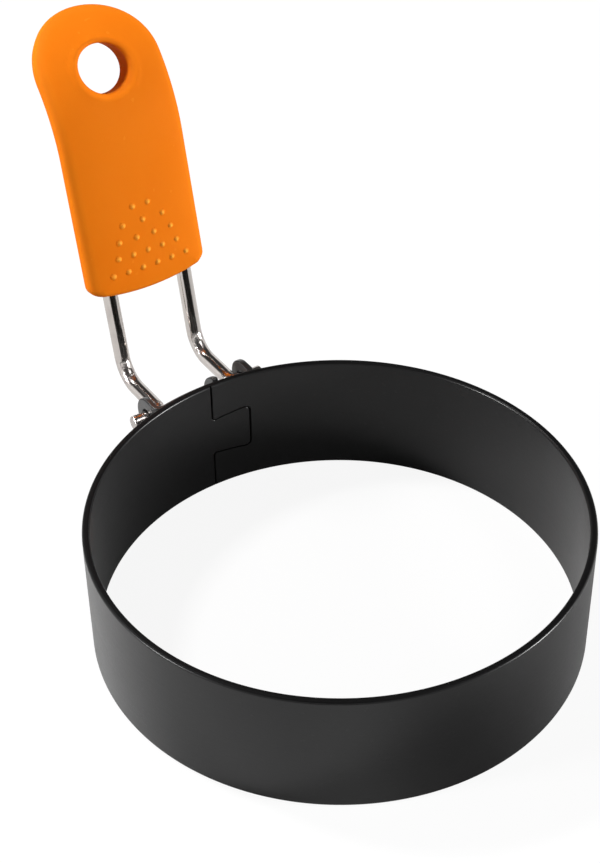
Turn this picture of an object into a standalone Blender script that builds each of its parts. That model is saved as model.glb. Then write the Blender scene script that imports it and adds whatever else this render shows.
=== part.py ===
"""Egg ring: a rolled steel band with a folding wire handle in a silicone grip.

The band stands on z = 0 and the handle points towards +Y. The handle's two
legs turn in the ears of a bracket on the outside of the band, about a line
that runs along X. All lengths are in metres.
"""

from math import acos, ceil, cos, hypot, pi, radians, sin, sqrt, tan

import bmesh
import bpy
from mathutils import Vector

# Band: a strip rolled into a ring and closed by a dovetail tongue
RING_DIAMETER = 0.0750
BAND_HEIGHT = 0.0206
BAND_WALL = 0.00115
BAND_EDGE_RADIUS = 0.00025
SEAM_OFFSET = 0.0003
SEAM_GAP = 0.0002
TONGUE_LENGTH = 0.0067
TONGUE_ROOT_WIDTH = 0.0067
TONGUE_TIP_WIDTH = 0.0082
TONGUE_ROOT_RADIUS = 0.0005
TONGUE_TIP_RADIUS = 0.0009

# Hinge line: how far it stands out from the band and lies below the rim
HINGE_STANDOFF = 0.0027
HINGE_BELOW_RIM = 0.0045

# Bracket: a strip bent into a U behind the band's rim
BRACKET_GAP = 0.0003
BRACKET_THICKNESS = 0.0010
EAR_SPACING = 0.0178
EAR_NOSE_RADIUS = 0.0033
EAR_BEND_RADIUS = 0.0012
TAB_OFFSET = 0.0025
TAB_REACH = 0.0043
TAB_NOSE_RADIUS = 0.0039

# Wire handle
WIRE_DIAMETER = 0.0025
LEG_SPACING = 0.0136
PIN_SPAN = 0.0241
FOOT_BEND_RADIUS = 0.0019
LOWER_LENGTH = 0.0116
KNEE_BEND_RADIUS = 0.0045
HANDLE_LEAN = radians(11.9)
PIN_CLEARANCE = 0.0003

# Grip: lengths are measured along the handle, up from the knee's corner
GRIP_WIDTH = 0.0206
GRIP_BOTTOM = 0.0156
GRIP_BOTTOM_SAG = 0.0015
GRIP_CORNER_RADIUS = 0.0022
GRIP_HOLE_UP = 0.0507
GRIP_HOLE_DIAMETER = 0.0085
GRIP_HOLE_LEAN = radians(25)
GRIP_THICKNESS_LOW = 0.0056
GRIP_THICKNESS_TOP = 0.0044
GRIP_EDGE_RADIUS = 0.0018
CURL_START = 0.0380
CURL_RADIUS = 0.0250
WIRE_CLEARANCE = 0.0003

# Raised dots on the front of the grip, in rows from the lowest up
DOTS_BOTTOM = 0.0187
DOTS_ROW_PITCH = 0.002575
DOT_DIAMETER = 0.0011
DOT_HEIGHT = 0.0004
DOTS_IN_ROW = (6, 5, 4, 3, 2)
DOT_PITCHES = (0.00263, 0.00262, 0.00307, 0.00355, 0.00267)

# How finely round shapes are faceted, and how far cutters run past
BAND_STEPS = 96
ARC_STEP = radians(12)
EDGE_STEPS = 2
CURL_STEPS = 10
HOLE_STEPS = 32
PIN_HOLE_STEPS = 24
DOT_STEPS = 10
TUBE_RESOLUTION = 4
SMOOTH_ANGLE = radians(35)
CUT_OVERRUN = 0.0010
WELD_DISTANCE = 0.00001

# Places worked out from the sizes above
ring_radius = RING_DIAMETER / 2
hinge_out = ring_radius + HINGE_STANDOFF
hinge_up = BAND_HEIGHT - HINGE_BELOW_RIM
wire_radius = WIRE_DIAMETER / 2
leg_out = LEG_SPACING / 2
grip_half_width = GRIP_WIDTH / 2
grip_top = GRIP_HOLE_UP + grip_half_width


def rounded(corners, radii):
    """Return a path through the corners with each inner one turned into an arc."""
    path = [corners[0]]
    for before, corner, after, radius in zip(corners, corners[1:], corners[2:], radii):
        back = (before - corner).normalized()
        onward = (after - corner).normalized()
        half = acos(max(-1, min(1, back.dot(onward)))) / 2
        turn = pi - 2 * half
        centre = corner + (back + onward).normalized() * (radius / sin(half))
        start = corner + back * (radius * cos(half) / sin(half)) - centre
        end = corner + onward * (radius * cos(half) / sin(half)) - centre
        steps = max(2, ceil(turn / ARC_STEP))
        for step in range(steps + 1):
            share = step / steps
            arm = start * sin((1 - share) * turn) + end * sin(share * turn)
            path.append(centre + arm / sin(turn))
    path.append(corners[-1])
    return path


def arc(centre, radius, start, end, steps):
    """Return points of a flat arc from one angle to another."""
    angles = [start + (end - start) * step / steps for step in range(steps + 1)]
    return [centre + Vector((cos(angle), sin(angle))) * radius for angle in angles]


def both_sides(half):
    """Return a path and its mirror image, joined at the last point."""
    mirrored = [Vector((-point.x, *point[1:])) for point in reversed(half)]
    return half + mirrored[1:]


def add_spline(curve, points, closed):
    """Add a straight-sided spline through 2D or 3D points."""
    spline = curve.splines.new("POLY")
    spline.points.add(len(points) - 1)
    for point, place in zip(spline.points, points):
        point.co = (*place.to_3d(), 1)
    spline.use_cyclic_u = closed


def flat_curve(name, outlines, half_depth, closed=True):
    """Return a 2D curve object with its outlines extruded to both sides."""
    curve = bpy.data.curves.new(name, "CURVE")
    curve.dimensions = "2D"
    curve.fill_mode = "BOTH" if closed else "NONE"
    curve.extrude = half_depth
    for outline in outlines:
        add_spline(curve, outline, closed)
    return bpy.data.objects.new(name, curve)


def tube(name, points, radius):
    """Return a round bar with closed ends along a path."""
    curve = bpy.data.curves.new(name, "CURVE")
    curve.dimensions = "3D"
    curve.bevel_depth = radius
    curve.bevel_resolution = TUBE_RESOLUTION
    curve.use_fill_caps = True
    add_spline(curve, points, False)
    return bpy.data.objects.new(name, curve)


def to_mesh(source):
    """Turn a curve object into a welded mesh object at the same place."""
    cutters.objects.link(source)
    bpy.context.view_layer.update()
    evaluated = source.evaluated_get(bpy.context.evaluated_depsgraph_get())
    mesh = bpy.data.meshes.new_from_object(evaluated)
    solid = bmesh.new()
    solid.from_mesh(mesh)
    bmesh.ops.remove_doubles(solid, verts=solid.verts, dist=WELD_DISTANCE)
    solid.to_mesh(mesh)
    solid.free()
    made = bpy.data.objects.new(source.name + "_mesh", mesh)
    made.matrix_world = source.matrix_world.copy()
    bpy.data.objects.remove(source)
    return made


def ribbon(name, points, half_depth, thickness):
    """Return a strip bent along a flat path, with its width across the path."""
    strip = to_mesh(flat_curve(name, [points], half_depth, closed=False))
    wall = strip.modifiers.new("thickness", "SOLIDIFY")
    wall.thickness = thickness
    wall.offset = 0
    wall.use_even_offset = True
    return strip


def stand_on_side(target, facing):
    """Turn a flat shape up: across Y it is seen from the front, across X from the side."""
    turn = pi / 2 if facing == "X" else 0
    target.rotation_euler = (pi / 2, 0, turn)


def as_cutter(tool, parent):
    """Keep a tool shape out of the finished part."""
    tool.parent = parent
    tool.hide_render = True
    tool.display_type = "WIRE"
    cutters.objects.link(tool)


def combine(target, tool, operation):
    """Cut, join or intersect a solid with a tool."""
    step = target.modifiers.new(tool.name, "BOOLEAN")
    step.operation = operation
    step.solver = "EXACT"
    step.object = tool


def add_piece(piece, name, parent, finish):
    """Name a finished piece, give it its material and put it under its parent."""
    piece.name = name
    piece.data.name = name
    piece.data.materials.clear()
    piece.data.materials.append(finish)
    piece.parent = parent
    part.objects.link(piece)
    return piece


def shade(piece):
    """Shade a mesh smooth, except across its sharp edges."""
    piece.data.shade_smooth()
    piece.data.set_sharp_from_angle(angle=SMOOTH_ANGLE)


def material(name, colour, roughness, metallic):
    """Return a plain surface finish."""
    finish = bpy.data.materials.new(name)
    finish.use_nodes = True
    surface = finish.node_tree.nodes["Principled BSDF"]
    surface.inputs["Base Color"].default_value = (*colour, 1)
    surface.inputs["Roughness"].default_value = roughness
    surface.inputs["Metallic"].default_value = metallic
    return finish


def add_empty(name, parent, location):
    """Return an empty that carries other objects."""
    empty = bpy.data.objects.new(name, None)
    empty.parent = parent
    empty.location = location
    part.objects.link(empty)
    return empty


def turned_band():
    """Return the plain ring, turned from its wall's section."""
    top = BAND_HEIGHT
    inner = ring_radius - BAND_WALL
    corners = [Vector((ring_radius, top)), Vector((ring_radius, 0)), Vector((inner, 0)), Vector((inner, top))]
    section = bmesh.new()
    profile = rounded_section(corners)
    points = [section.verts.new((point.x, 0, point.y)) for point in profile]
    for first, second in zip(points, points[1:] + points[:1]):
        section.edges.new((first, second))
    mesh = bpy.data.meshes.new("band_section")
    section.to_mesh(mesh)
    section.free()
    band = bpy.data.objects.new("band_section", mesh)
    turn = band.modifiers.new("turn", "SCREW")
    turn.axis = "Z"
    turn.angle = 2 * pi
    turn.steps = BAND_STEPS
    turn.render_steps = BAND_STEPS
    turn.use_merge_vertices = True
    turn.merge_threshold = WELD_DISTANCE
    return band


def rounded_section(corners):
    """Return a section with small round edges, each of a few facets."""
    outline = []
    count = len(corners)
    for index, corner in enumerate(corners):
        back = (corners[index - 1] - corner).normalized()
        onward = (corners[(index + 1) % count] - corner).normalized()
        centre = corner + (back + onward) * BAND_EDGE_RADIUS
        for step in range(EDGE_STEPS + 1):
            angle = pi / 2 * step / EDGE_STEPS
            outline.append(centre - (onward * cos(angle) + back * sin(angle)) * BAND_EDGE_RADIUS)
    return outline


def seam_path():
    """Return the seam's line, seen from outside the band: X across, height up."""
    middle = BAND_HEIGHT / 2
    root = TONGUE_ROOT_WIDTH / 2
    tip = TONGUE_TIP_WIDTH / 2
    reach = SEAM_OFFSET + TONGUE_LENGTH
    corners = [
        Vector((SEAM_OFFSET, -CUT_OVERRUN)),
        Vector((SEAM_OFFSET, middle - root)),
        Vector((reach, middle - tip)),
        Vector((reach, middle + tip)),
        Vector((SEAM_OFFSET, middle + root)),
        Vector((SEAM_OFFSET, BAND_HEIGHT + CUT_OVERRUN)),
    ]
    radii = [TONGUE_ROOT_RADIUS, TONGUE_TIP_RADIUS, TONGUE_TIP_RADIUS, TONGUE_ROOT_RADIUS]
    return rounded(corners, radii)


def make_band(parent, finish):
    """Make the band: the ring with its seam cut through the wall."""
    band = turned_band()
    reach = SEAM_OFFSET + TONGUE_LENGTH + SEAM_GAP
    nearest = sqrt((ring_radius - BAND_WALL) ** 2 - reach ** 2)
    half_depth = (ring_radius - nearest) / 2 + CUT_OVERRUN
    seam = ribbon("seam", seam_path(), half_depth, SEAM_GAP)
    stand_on_side(seam, "Y")
    seam.location = (0, (ring_radius + nearest) / 2, 0)
    as_cutter(seam, parent)
    combine(band, seam, "DIFFERENCE")
    shade(band)
    return add_piece(band, "ring_band", parent, finish)


def bracket_path():
    """Return the bracket's middle line in plan: one ear, round the band, other ear."""
    ear = EAR_SPACING / 2
    radius = ring_radius + BRACKET_GAP + BRACKET_THICKNESS / 2
    nose = hinge_out + EAR_NOSE_RADIUS + CUT_OVERRUN
    bend_across = ear - EAR_BEND_RADIUS
    bend_out = sqrt((radius + EAR_BEND_RADIUS) ** 2 - bend_across ** 2)
    spread = acos(bend_across / (radius + EAR_BEND_RADIUS))
    bend_steps = ceil((pi - spread) / ARC_STEP)
    back_steps = max(2, ceil((pi / 2 - spread) / ARC_STEP) * 4)
    bend = arc(Vector((bend_across, bend_out)), EAR_BEND_RADIUS, 0, spread - pi, bend_steps)
    back = arc(Vector((0, 0)), radius, spread, pi / 2, back_steps)
    return both_sides([Vector((ear, nose))] + bend + back[1:])


def nose_outline(reach, radius, back):
    """Return a tab's side view: a round nose, and straight sides where it is longer."""
    centre = reach - radius
    spread = acos(max(0, back - centre) / radius)
    nose = arc(Vector((centre, 0)), radius, -spread, spread, ceil(2 * spread / ARC_STEP))
    heel = [Vector((back, radius)), Vector((back, -radius))] if centre > back else []
    return nose + heel


def make_bracket(parent, finish):
    """Make the bracket: a bent strip with two ears and a small third tab."""
    bracket = ribbon("strip", bracket_path(), EAR_NOSE_RADIUS + CUT_OVERRUN, BRACKET_THICKNESS)
    bracket.location = (0, 0, hinge_up)

    behind = ring_radius / 2
    ear_shape = nose_outline(hinge_out + EAR_NOSE_RADIUS, EAR_NOSE_RADIUS, behind)
    ears = to_mesh(flat_curve("ears", [ear_shape], EAR_SPACING))
    stand_on_side(ears, "X")
    ears.location = (0, 0, hinge_up)
    as_cutter(ears, parent)
    combine(bracket, ears, "INTERSECT")

    seat = ring_radius + BRACKET_GAP
    tab_back = sqrt(seat ** 2 - TAB_OFFSET ** 2) + BRACKET_THICKNESS / 2
    tab_shape = nose_outline(ring_radius + TAB_REACH, TAB_NOSE_RADIUS, tab_back)
    tab = to_mesh(flat_curve("tab", [tab_shape], BRACKET_THICKNESS / 2))
    stand_on_side(tab, "X")
    tab.location = (TAB_OFFSET, 0, hinge_up)
    as_cutter(tab, parent)
    combine(bracket, tab, "UNION")

    hole = pin_hole()
    as_cutter(hole, parent)
    combine(bracket, hole, "DIFFERENCE")
    shade(bracket)
    return add_piece(bracket, "hinge_bracket", parent, finish)


def pin_hole():
    """Return the round bar that bores both ears on the hinge line."""
    bar = bmesh.new()
    radius = wire_radius + PIN_CLEARANCE
    length = EAR_SPACING + 2 * CUT_OVERRUN + BRACKET_THICKNESS
    bmesh.ops.create_cone(
        bar,
        cap_ends=True,
        segments=PIN_HOLE_STEPS,
        radius1=radius,
        radius2=radius,
        depth=length,
    )
    mesh = bpy.data.meshes.new("pin_hole")
    bar.to_mesh(mesh)
    bar.free()
    hole = bpy.data.objects.new("pin_hole", mesh)
    hole.rotation_euler = (0, pi / 2, 0)
    hole.location = (0, hinge_out, hinge_up)
    return hole


def lean_at(along):
    """Return how far the handle leans back at a place along it."""
    return HANDLE_LEAN + max(0, along - CURL_START) / CURL_RADIUS


def along_handle(across, along, front):
    """Return the place, from the hinge line, of a point given on the flat grip."""
    lean = lean_at(along)
    up = Vector((0, sin(HANDLE_LEAN), cos(HANDLE_LEAN)))
    face = Vector((0, -cos(lean), sin(lean)))
    flat_face = Vector((0, -cos(HANDLE_LEAN), sin(HANDLE_LEAN)))
    line = Vector((across, LOWER_LENGTH, 0)) + up * min(along, CURL_START)
    return line + (face - flat_face) * CURL_RADIUS + face * front


def upper_wire(start):
    """Return the wire's line inside the grip, from one leg over the top to its middle."""
    rise = GRIP_HOLE_UP - CURL_START
    steps = max(2, ceil(rise / CURL_RADIUS / (ARC_STEP / 3)))
    ups = [start] + [CURL_START + rise * step / steps for step in range(steps)]
    leg = [Vector((leg_out, up)) for up in ups]
    loop = arc(Vector((0, GRIP_HOLE_UP)), leg_out, 0, pi / 2, ceil(pi / 2 / ARC_STEP) + 2)
    return [along_handle(point.x, point.y, 0) for point in leg + loop]


def make_wire(parent, finish):
    """Make the wire: one bar from pin to pin over the top of the handle."""
    corners = [
        Vector((PIN_SPAN / 2, 0, 0)),
        Vector((leg_out, 0, 0)),
        Vector((leg_out, LOWER_LENGTH, 0)),
        along_handle(leg_out, GRIP_BOTTOM, 0),
    ]
    lower = rounded(corners, [FOOT_BEND_RADIUS, KNEE_BEND_RADIUS])
    wire = tube("wire", both_sides(lower[:-1] + upper_wire(GRIP_BOTTOM)), wire_radius)
    return add_piece(wire, "wire_bail", parent, finish)


def grip_outline():
    """Return the flat grip's outline: round head, straight sides, bulging lower end."""
    sag_radius = (grip_half_width ** 2 + GRIP_BOTTOM_SAG ** 2) / (2 * GRIP_BOTTOM_SAG)
    middle = Vector((0, GRIP_BOTTOM - GRIP_BOTTOM_SAG + sag_radius))
    reach = grip_half_width - 2 * GRIP_CORNER_RADIUS
    half_angle = acos(sqrt(sag_radius ** 2 - reach ** 2) / sag_radius)
    steps = max(2, ceil(2 * half_angle / ARC_STEP) * 2)
    low = arc(middle, sag_radius, -pi / 2 - half_angle, -pi / 2 + half_angle, steps)
    corner = [low[-1], Vector((grip_half_width, GRIP_BOTTOM)), Vector((grip_half_width, GRIP_HOLE_UP))]
    right = rounded(corner, [GRIP_CORNER_RADIUS])[1:-1]
    left = [Vector((-point.x, point.y)) for point in reversed(right)]
    head = arc(Vector((0, GRIP_HOLE_UP)), grip_half_width, 0, pi, HOLE_STEPS)
    return low + right + head + left


def flat_grip():
    """Return the grip as it would lie flat, with round edges and its hanging hole."""
    hole = arc(Vector((0, GRIP_HOLE_UP)), GRIP_HOLE_DIAMETER / 2, 0, 2 * pi, HOLE_STEPS)[:-1]
    grip = flat_curve("flat_grip", [grip_outline(), hole], GRIP_THICKNESS_LOW / 2 - GRIP_EDGE_RADIUS)
    grip.data.bevel_depth = GRIP_EDGE_RADIUS
    grip.data.bevel_resolution = EDGE_STEPS
    grip.data.offset = -GRIP_EDGE_RADIUS
    return to_mesh(grip)


def dot_domes():
    """Return the raised dots as low domes on the flat grip's front."""
    domes = bmesh.new()
    for row, (count, pitch) in enumerate(zip(DOTS_IN_ROW, DOT_PITCHES)):
        for column in range(count):
            dome = bmesh.ops.create_uvsphere(domes, u_segments=DOT_STEPS, v_segments=DOT_STEPS // 2, radius=1)
            across = (column - (count - 1) / 2) * pitch
            up = DOTS_BOTTOM + row * DOTS_ROW_PITCH
            for vert in dome["verts"]:
                vert.co.x = across + vert.co.x * DOT_DIAMETER / 2
                vert.co.y = up + vert.co.y * DOT_DIAMETER / 2
                vert.co.z = GRIP_THICKNESS_LOW / 2 + vert.co.z * DOT_HEIGHT
    mesh = bpy.data.meshes.new("dots")
    domes.to_mesh(mesh)
    domes.free()
    return bpy.data.objects.new("dots", mesh)


def slanted(place):
    """Return how far along a flat grip's point goes, for the hanging hole to run straight."""
    hole_edge = GRIP_HOLE_DIAMETER / 2 + GRIP_EDGE_RADIUS
    reach = hypot(place.x, place.y - GRIP_HOLE_UP)
    share = (grip_half_width - reach) / (grip_half_width - hole_edge)
    slant = tan(lean_at(place.y) - GRIP_HOLE_LEAN)
    return place.y - place.z * slant * max(0, min(1, share))


def curl(flat):
    """Thin a flat grip towards its head and curl it back, slice by slice."""
    solid = bmesh.new()
    solid.from_mesh(flat)
    for step in range(CURL_STEPS):
        height = CURL_START + (grip_top - CURL_START) * step / CURL_STEPS
        geometry = solid.verts[:] + solid.edges[:] + solid.faces[:]
        cut_at = (0, height, 0)
        bmesh.ops.bisect_plane(solid, geom=geometry, dist=WELD_DISTANCE, plane_co=cut_at, plane_no=(0, 1, 0))
    bmesh.ops.triangulate(solid, faces=solid.faces)
    low = GRIP_BOTTOM - GRIP_BOTTOM_SAG
    for vert in solid.verts:
        share = (vert.co.y - low) / (grip_top - low)
        thickness = GRIP_THICKNESS_LOW + (GRIP_THICKNESS_TOP - GRIP_THICKNESS_LOW) * share
        front = vert.co.z * thickness / GRIP_THICKNESS_LOW
        vert.co = along_handle(vert.co.x, slanted(vert.co), front)
    bmesh.ops.recalc_face_normals(solid, faces=solid.faces)
    mesh = bpy.data.meshes.new("curled_grip")
    solid.to_mesh(mesh)
    solid.free()
    return mesh


def make_grip(parent, finish):
    """Make the grip: dots on a flat slab, curled, then bored for the wire."""
    flat = flat_grip()
    dots = dot_domes()
    cutters.objects.link(dots)
    combine(flat, dots, "UNION")
    cutters.objects.link(flat)
    bpy.context.view_layer.update()
    joined = flat.evaluated_get(bpy.context.evaluated_depsgraph_get())
    grip = bpy.data.objects.new("curled_grip", curl(bpy.data.meshes.new_from_object(joined)))
    for used in (flat, dots):
        bpy.data.objects.remove(used)

    entry = GRIP_BOTTOM - GRIP_BOTTOM_SAG - CUT_OVERRUN
    bore = tube("wire_bore", both_sides(upper_wire(entry)), wire_radius + WIRE_CLEARANCE)
    bore = to_mesh(bore)
    as_cutter(bore, parent)
    combine(grip, bore, "DIFFERENCE")
    shade(grip)
    return add_piece(grip, "silicone_grip", parent, finish)


def centre_on_origin(root, pieces):
    """Move the part so that its box stands on the origin by its bottom's middle."""
    bpy.context.view_layer.update()
    graph = bpy.context.evaluated_depsgraph_get()
    places = []
    for piece in pieces:
        evaluated = piece.evaluated_get(graph)
        mesh = evaluated.to_mesh()
        places += [evaluated.matrix_world @ vert.co for vert in mesh.vertices]
        evaluated.to_mesh_clear()
    depths = [point.y for point in places]
    root.location.y = -(min(depths) + max(depths)) / 2


for old in list(bpy.data.objects):
    bpy.data.objects.remove(old)

part = bpy.data.collections.new("egg_ring")
cutters = bpy.data.collections.new("cutters")
for group in (part, cutters):
    bpy.context.scene.collection.children.link(group)

coated_steel = material("black_nonstick_steel", (0.012, 0.012, 0.013), 0.42, 0.0)
bracket_steel = material("black_bracket_steel", (0.014, 0.014, 0.015), 0.38, 0.0)
chrome = material("chromed_wire", (0.80, 0.79, 0.78), 0.10, 1.0)
silicone = material("orange_silicone", (0.86, 0.16, 0.008), 0.50, 0.0)

frame = add_empty("ring_frame", None, (0, 0, 0))
hinge = add_empty("handle_hinge", frame, (0, hinge_out, hinge_up))
made = [
    make_band(frame, coated_steel),
    make_bracket(frame, bracket_steel),
    make_wire(hinge, chrome),
    make_grip(hinge, silicone),
]
centre_on_origin(frame, made)
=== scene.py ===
"""Egg ring, dressed: coated steel band, hinge bracket, wire handle and silicone grip.

The ring stands on z = 0 and its handle points towards +Y. Lengths are in metres,
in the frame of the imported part. Each sub-assembly is a class that holds its sizes,
builds its meshes and gives them their finish.
"""

import logging
from collections.abc import Callable, Sequence
from dataclasses import dataclass, field
from enum import Enum
from math import acos, atan2, ceil, cos, pi, radians, sin, sqrt
from typing import Any

import bmesh
import bpy
import numpy as np
from mathutils import Matrix, Vector
from mathutils.bvhtree import BVHTree
from mathutils.geometry import delaunay_2d_cdt
from mathutils.interpolate import poly_3d_calc


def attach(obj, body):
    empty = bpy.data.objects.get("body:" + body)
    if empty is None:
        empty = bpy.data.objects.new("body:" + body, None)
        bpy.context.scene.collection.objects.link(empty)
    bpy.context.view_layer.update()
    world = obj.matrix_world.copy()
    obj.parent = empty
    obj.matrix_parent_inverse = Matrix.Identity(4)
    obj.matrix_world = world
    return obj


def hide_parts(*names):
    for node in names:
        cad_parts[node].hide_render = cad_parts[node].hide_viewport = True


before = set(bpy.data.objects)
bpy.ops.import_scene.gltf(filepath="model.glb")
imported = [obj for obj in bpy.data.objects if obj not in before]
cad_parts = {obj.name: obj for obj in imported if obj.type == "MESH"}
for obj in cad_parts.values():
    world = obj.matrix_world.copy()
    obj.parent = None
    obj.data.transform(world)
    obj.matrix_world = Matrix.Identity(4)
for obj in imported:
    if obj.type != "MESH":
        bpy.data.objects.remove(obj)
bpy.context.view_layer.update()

log = logging.getLogger("egg_ring")

Triple = tuple[float, float, float]
Window = tuple[float, float]
Section = list[tuple[np.ndarray, np.ndarray, float]]
Faces = list[tuple[int, ...]]
Settings = dict[str, Any]
Inputs = dict[Any, Any]

RING_CENTRE = Vector((0, -0.0181952, 0))
HINGE = Vector((0, 0.0220048, 0.0161))
MILLIMETRE = 0.001
NOISE_MIDDLE = 0.5
ARC_STEPS = 60  # fine enough for a line that is spaced anew afterwards
INSIDE_EDGES = 1  # the triangulation's mode that leaves out what lies outside
WHITE = (1.0, 1.0, 1.0, 1.0)


class Body(Enum):
    """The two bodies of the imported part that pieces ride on."""

    RING = "ring"
    HANDLE = "handle"


class Slot(Enum):
    """The record's material slots."""

    BAND = "black_nonstick_steel"
    BRACKET = "black_bracket_steel"
    WIRE = "chromed_wire"
    GRIP = "orange_silicone"


# ---------------------------------------------------------------- node graphs


class Value:
    """A node's output that Python's operators combine through Math nodes."""

    def __init__(self, graph: "Graph", socket: bpy.types.NodeSocket) -> None:
        """Wrap one output socket of a graph."""
        self.graph = graph
        self.socket = socket

    def _math(self, operation: str, *terms: Any) -> "Value":
        """Return the result of a Math node on some terms."""
        return self.graph.value("ShaderNodeMath", {"operation": operation}, dict(enumerate(terms)))

    def __add__(self, other: Any) -> "Value":
        """Return self + other."""
        return self._math("ADD", self, other)

    def __radd__(self, other: Any) -> "Value":
        """Return other + self."""
        return self._math("ADD", other, self)

    def __sub__(self, other: Any) -> "Value":
        """Return self - other."""
        return self._math("SUBTRACT", self, other)

    def __rsub__(self, other: Any) -> "Value":
        """Return other - self."""
        return self._math("SUBTRACT", other, self)

    def __mul__(self, other: Any) -> "Value":
        """Return self * other."""
        return self._math("MULTIPLY", self, other)

    def __rmul__(self, other: Any) -> "Value":
        """Return other * self."""
        return self._math("MULTIPLY", other, self)

    def largest(self, other: Any) -> "Value":
        """Return the larger of two values."""
        return self._math("MAXIMUM", self, other)

    def step(self, low: float, high: float) -> "Value":
        """Return 0 below low, 1 above high, and a smooth rise between them.

        Args:
            low: The value where the rise starts.
            high: The value where it ends. It may be below low, for a fall.

        Returns:
            The smooth step.
        """
        settings = {"interpolation_type": "SMOOTHSTEP"}
        if low <= high:
            return self.graph.value("ShaderNodeMapRange", settings, {0: self, 1: low, 2: high})
        return 1 - self.graph.value("ShaderNodeMapRange", settings, {0: self, 1: high, 2: low})


@dataclass(frozen=True)
class Noise:
    """A pattern of soft noise.

    Attributes:
        scale: Features in a metre, or in one unit of a stretched place.
        detail: How many finer layers are added.
        rough: How strong the finer layers are.
        low: The value below which there is none of its spots.
        high: The value above which a spot is full.
        strength: How strongly it tells where a finish uses it.
        stretch: How many times each axis is stretched first.
    """

    scale: float
    detail: float
    rough: float
    low: float = 0.0
    high: float = 1.0
    strength: float = 1.0
    stretch: Triple | None = None


class Graph:
    """A node tree that is written as Python expressions."""

    def __init__(self, tree: bpy.types.NodeTree) -> None:
        """Start on an empty tree."""
        self.tree = tree
        tree.nodes.clear()

    def node(self, kind: str, settings: Settings, inputs: Inputs) -> bpy.types.Node:
        """Add a node, set it up, then fill or link its sockets.

        Args:
            kind: The node's type.
            settings: Its own settings, set before its sockets.
            inputs: Values, or outputs of other nodes, by socket name or number.

        Returns:
            The new node.
        """
        made = self.tree.nodes.new(kind)
        for name, setting in settings.items():
            setattr(made, name, setting)
        for key, given in inputs.items():
            socket = made.inputs[key]
            if isinstance(given, Value):
                self.tree.links.new(given.socket, socket)
            elif isinstance(given, bpy.types.NodeSocket):
                self.tree.links.new(given, socket)
            else:
                socket.default_value = given
        return made

    def value(self, kind: str, settings: Settings, inputs: Inputs, out: Any = 0) -> Value:
        """Add a node and return one of its outputs.

        Args:
            kind: The node's type.
            settings: Its own settings.
            inputs: Values or outputs for its sockets.
            out: The output's name or number.

        Returns:
            The output, ready for expressions.
        """
        return Value(self, self.node(kind, settings, inputs).outputs[out])

    def place(self) -> Value:
        """Return the point on the object, in metres."""
        return self.value("ShaderNodeTexCoord", {}, {}, "Object")

    def part_of(self, vector: Value, axis: str) -> Value:
        """Return one side of a vector: X, Y or Z."""
        return self.value("ShaderNodeSeparateXYZ", {}, {0: vector}, axis)

    def noise(self, place: Value, kind: Noise) -> Value:
        """Return soft noise.

        Args:
            place: Where the noise is read.
            kind: Its pattern.

        Returns:
            Values from 0 to 1, mostly near a half.
        """
        if kind.stretch:
            inputs = {0: place, 1: kind.stretch}
            place = self.value("ShaderNodeVectorMath", {"operation": "MULTIPLY"}, inputs)
        inputs = {"Vector": place, "Scale": kind.scale}
        inputs |= {"Detail": kind.detail, "Roughness": kind.rough}
        return self.value("ShaderNodeTexNoise", {}, inputs, "Fac")

    def spots(self, place: Value, kind: Noise) -> Value:
        """Return a pattern's spots: 1 inside them, 0 outside, with soft edges."""
        return self.noise(place, kind).step(kind.low, kind.high)

    def attribute(self, name: str) -> Value:
        """Return a number that the mesh holds at each vertex."""
        return self.value("ShaderNodeAttribute", {"attribute_name": name}, {}, "Fac")

    def blend(self, share: Any, first: Any, second: Any) -> Value:
        """Return a colour between two colours, by a share from 0 to 1."""
        inputs = {0: share, 6: opaque(first), 7: opaque(second)}
        return self.value("ShaderNodeMix", {"data_type": "RGBA"}, inputs, 2)

    def bump(self, height: Value, distance: float, under: Value | None = None) -> Value:
        """Return a surface direction bent by a height map.

        Args:
            height: The height, where 1 is one distance up.
            distance: How high a height of 1 stands, in metres.
            under: Another bump that this one lies on.

        Returns:
            The bent direction.
        """
        inputs: Inputs = {"Height": height, "Distance": distance}
        if under is not None:
            inputs["Normal"] = under
        return self.value("ShaderNodeBump", {}, inputs)


def opaque(colour: Any) -> Any:
    """Return a plain colour with full alpha, and anything else as it is."""
    return (*colour, 1.0) if isinstance(colour, tuple) and len(colour) == 3 else colour


@dataclass(frozen=True)
class Finish:
    """A finish that covers a piece all over, with its own pattern in nodes."""

    slot: Slot

    def paint(self, graph: Graph) -> dict[str, Any]:
        """Return the surface shader's sockets by name."""
        raise NotImplementedError

    def surface(self, graph: Graph) -> Value:
        """Return the finish as one shader."""
        return graph.value("ShaderNodeBsdfPrincipled", {}, self.paint(graph))

    def material(self) -> bpy.types.Material:
        """Return the finish as a new material.

        Returns:
            The material, named after its slot.
        """
        made = bpy.data.materials.new(self.slot.value + "_finish")
        made.use_nodes = True
        graph = Graph(made.node_tree)
        graph.node("ShaderNodeOutputMaterial", {}, {"Surface": self.surface(graph)})
        return made


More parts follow.
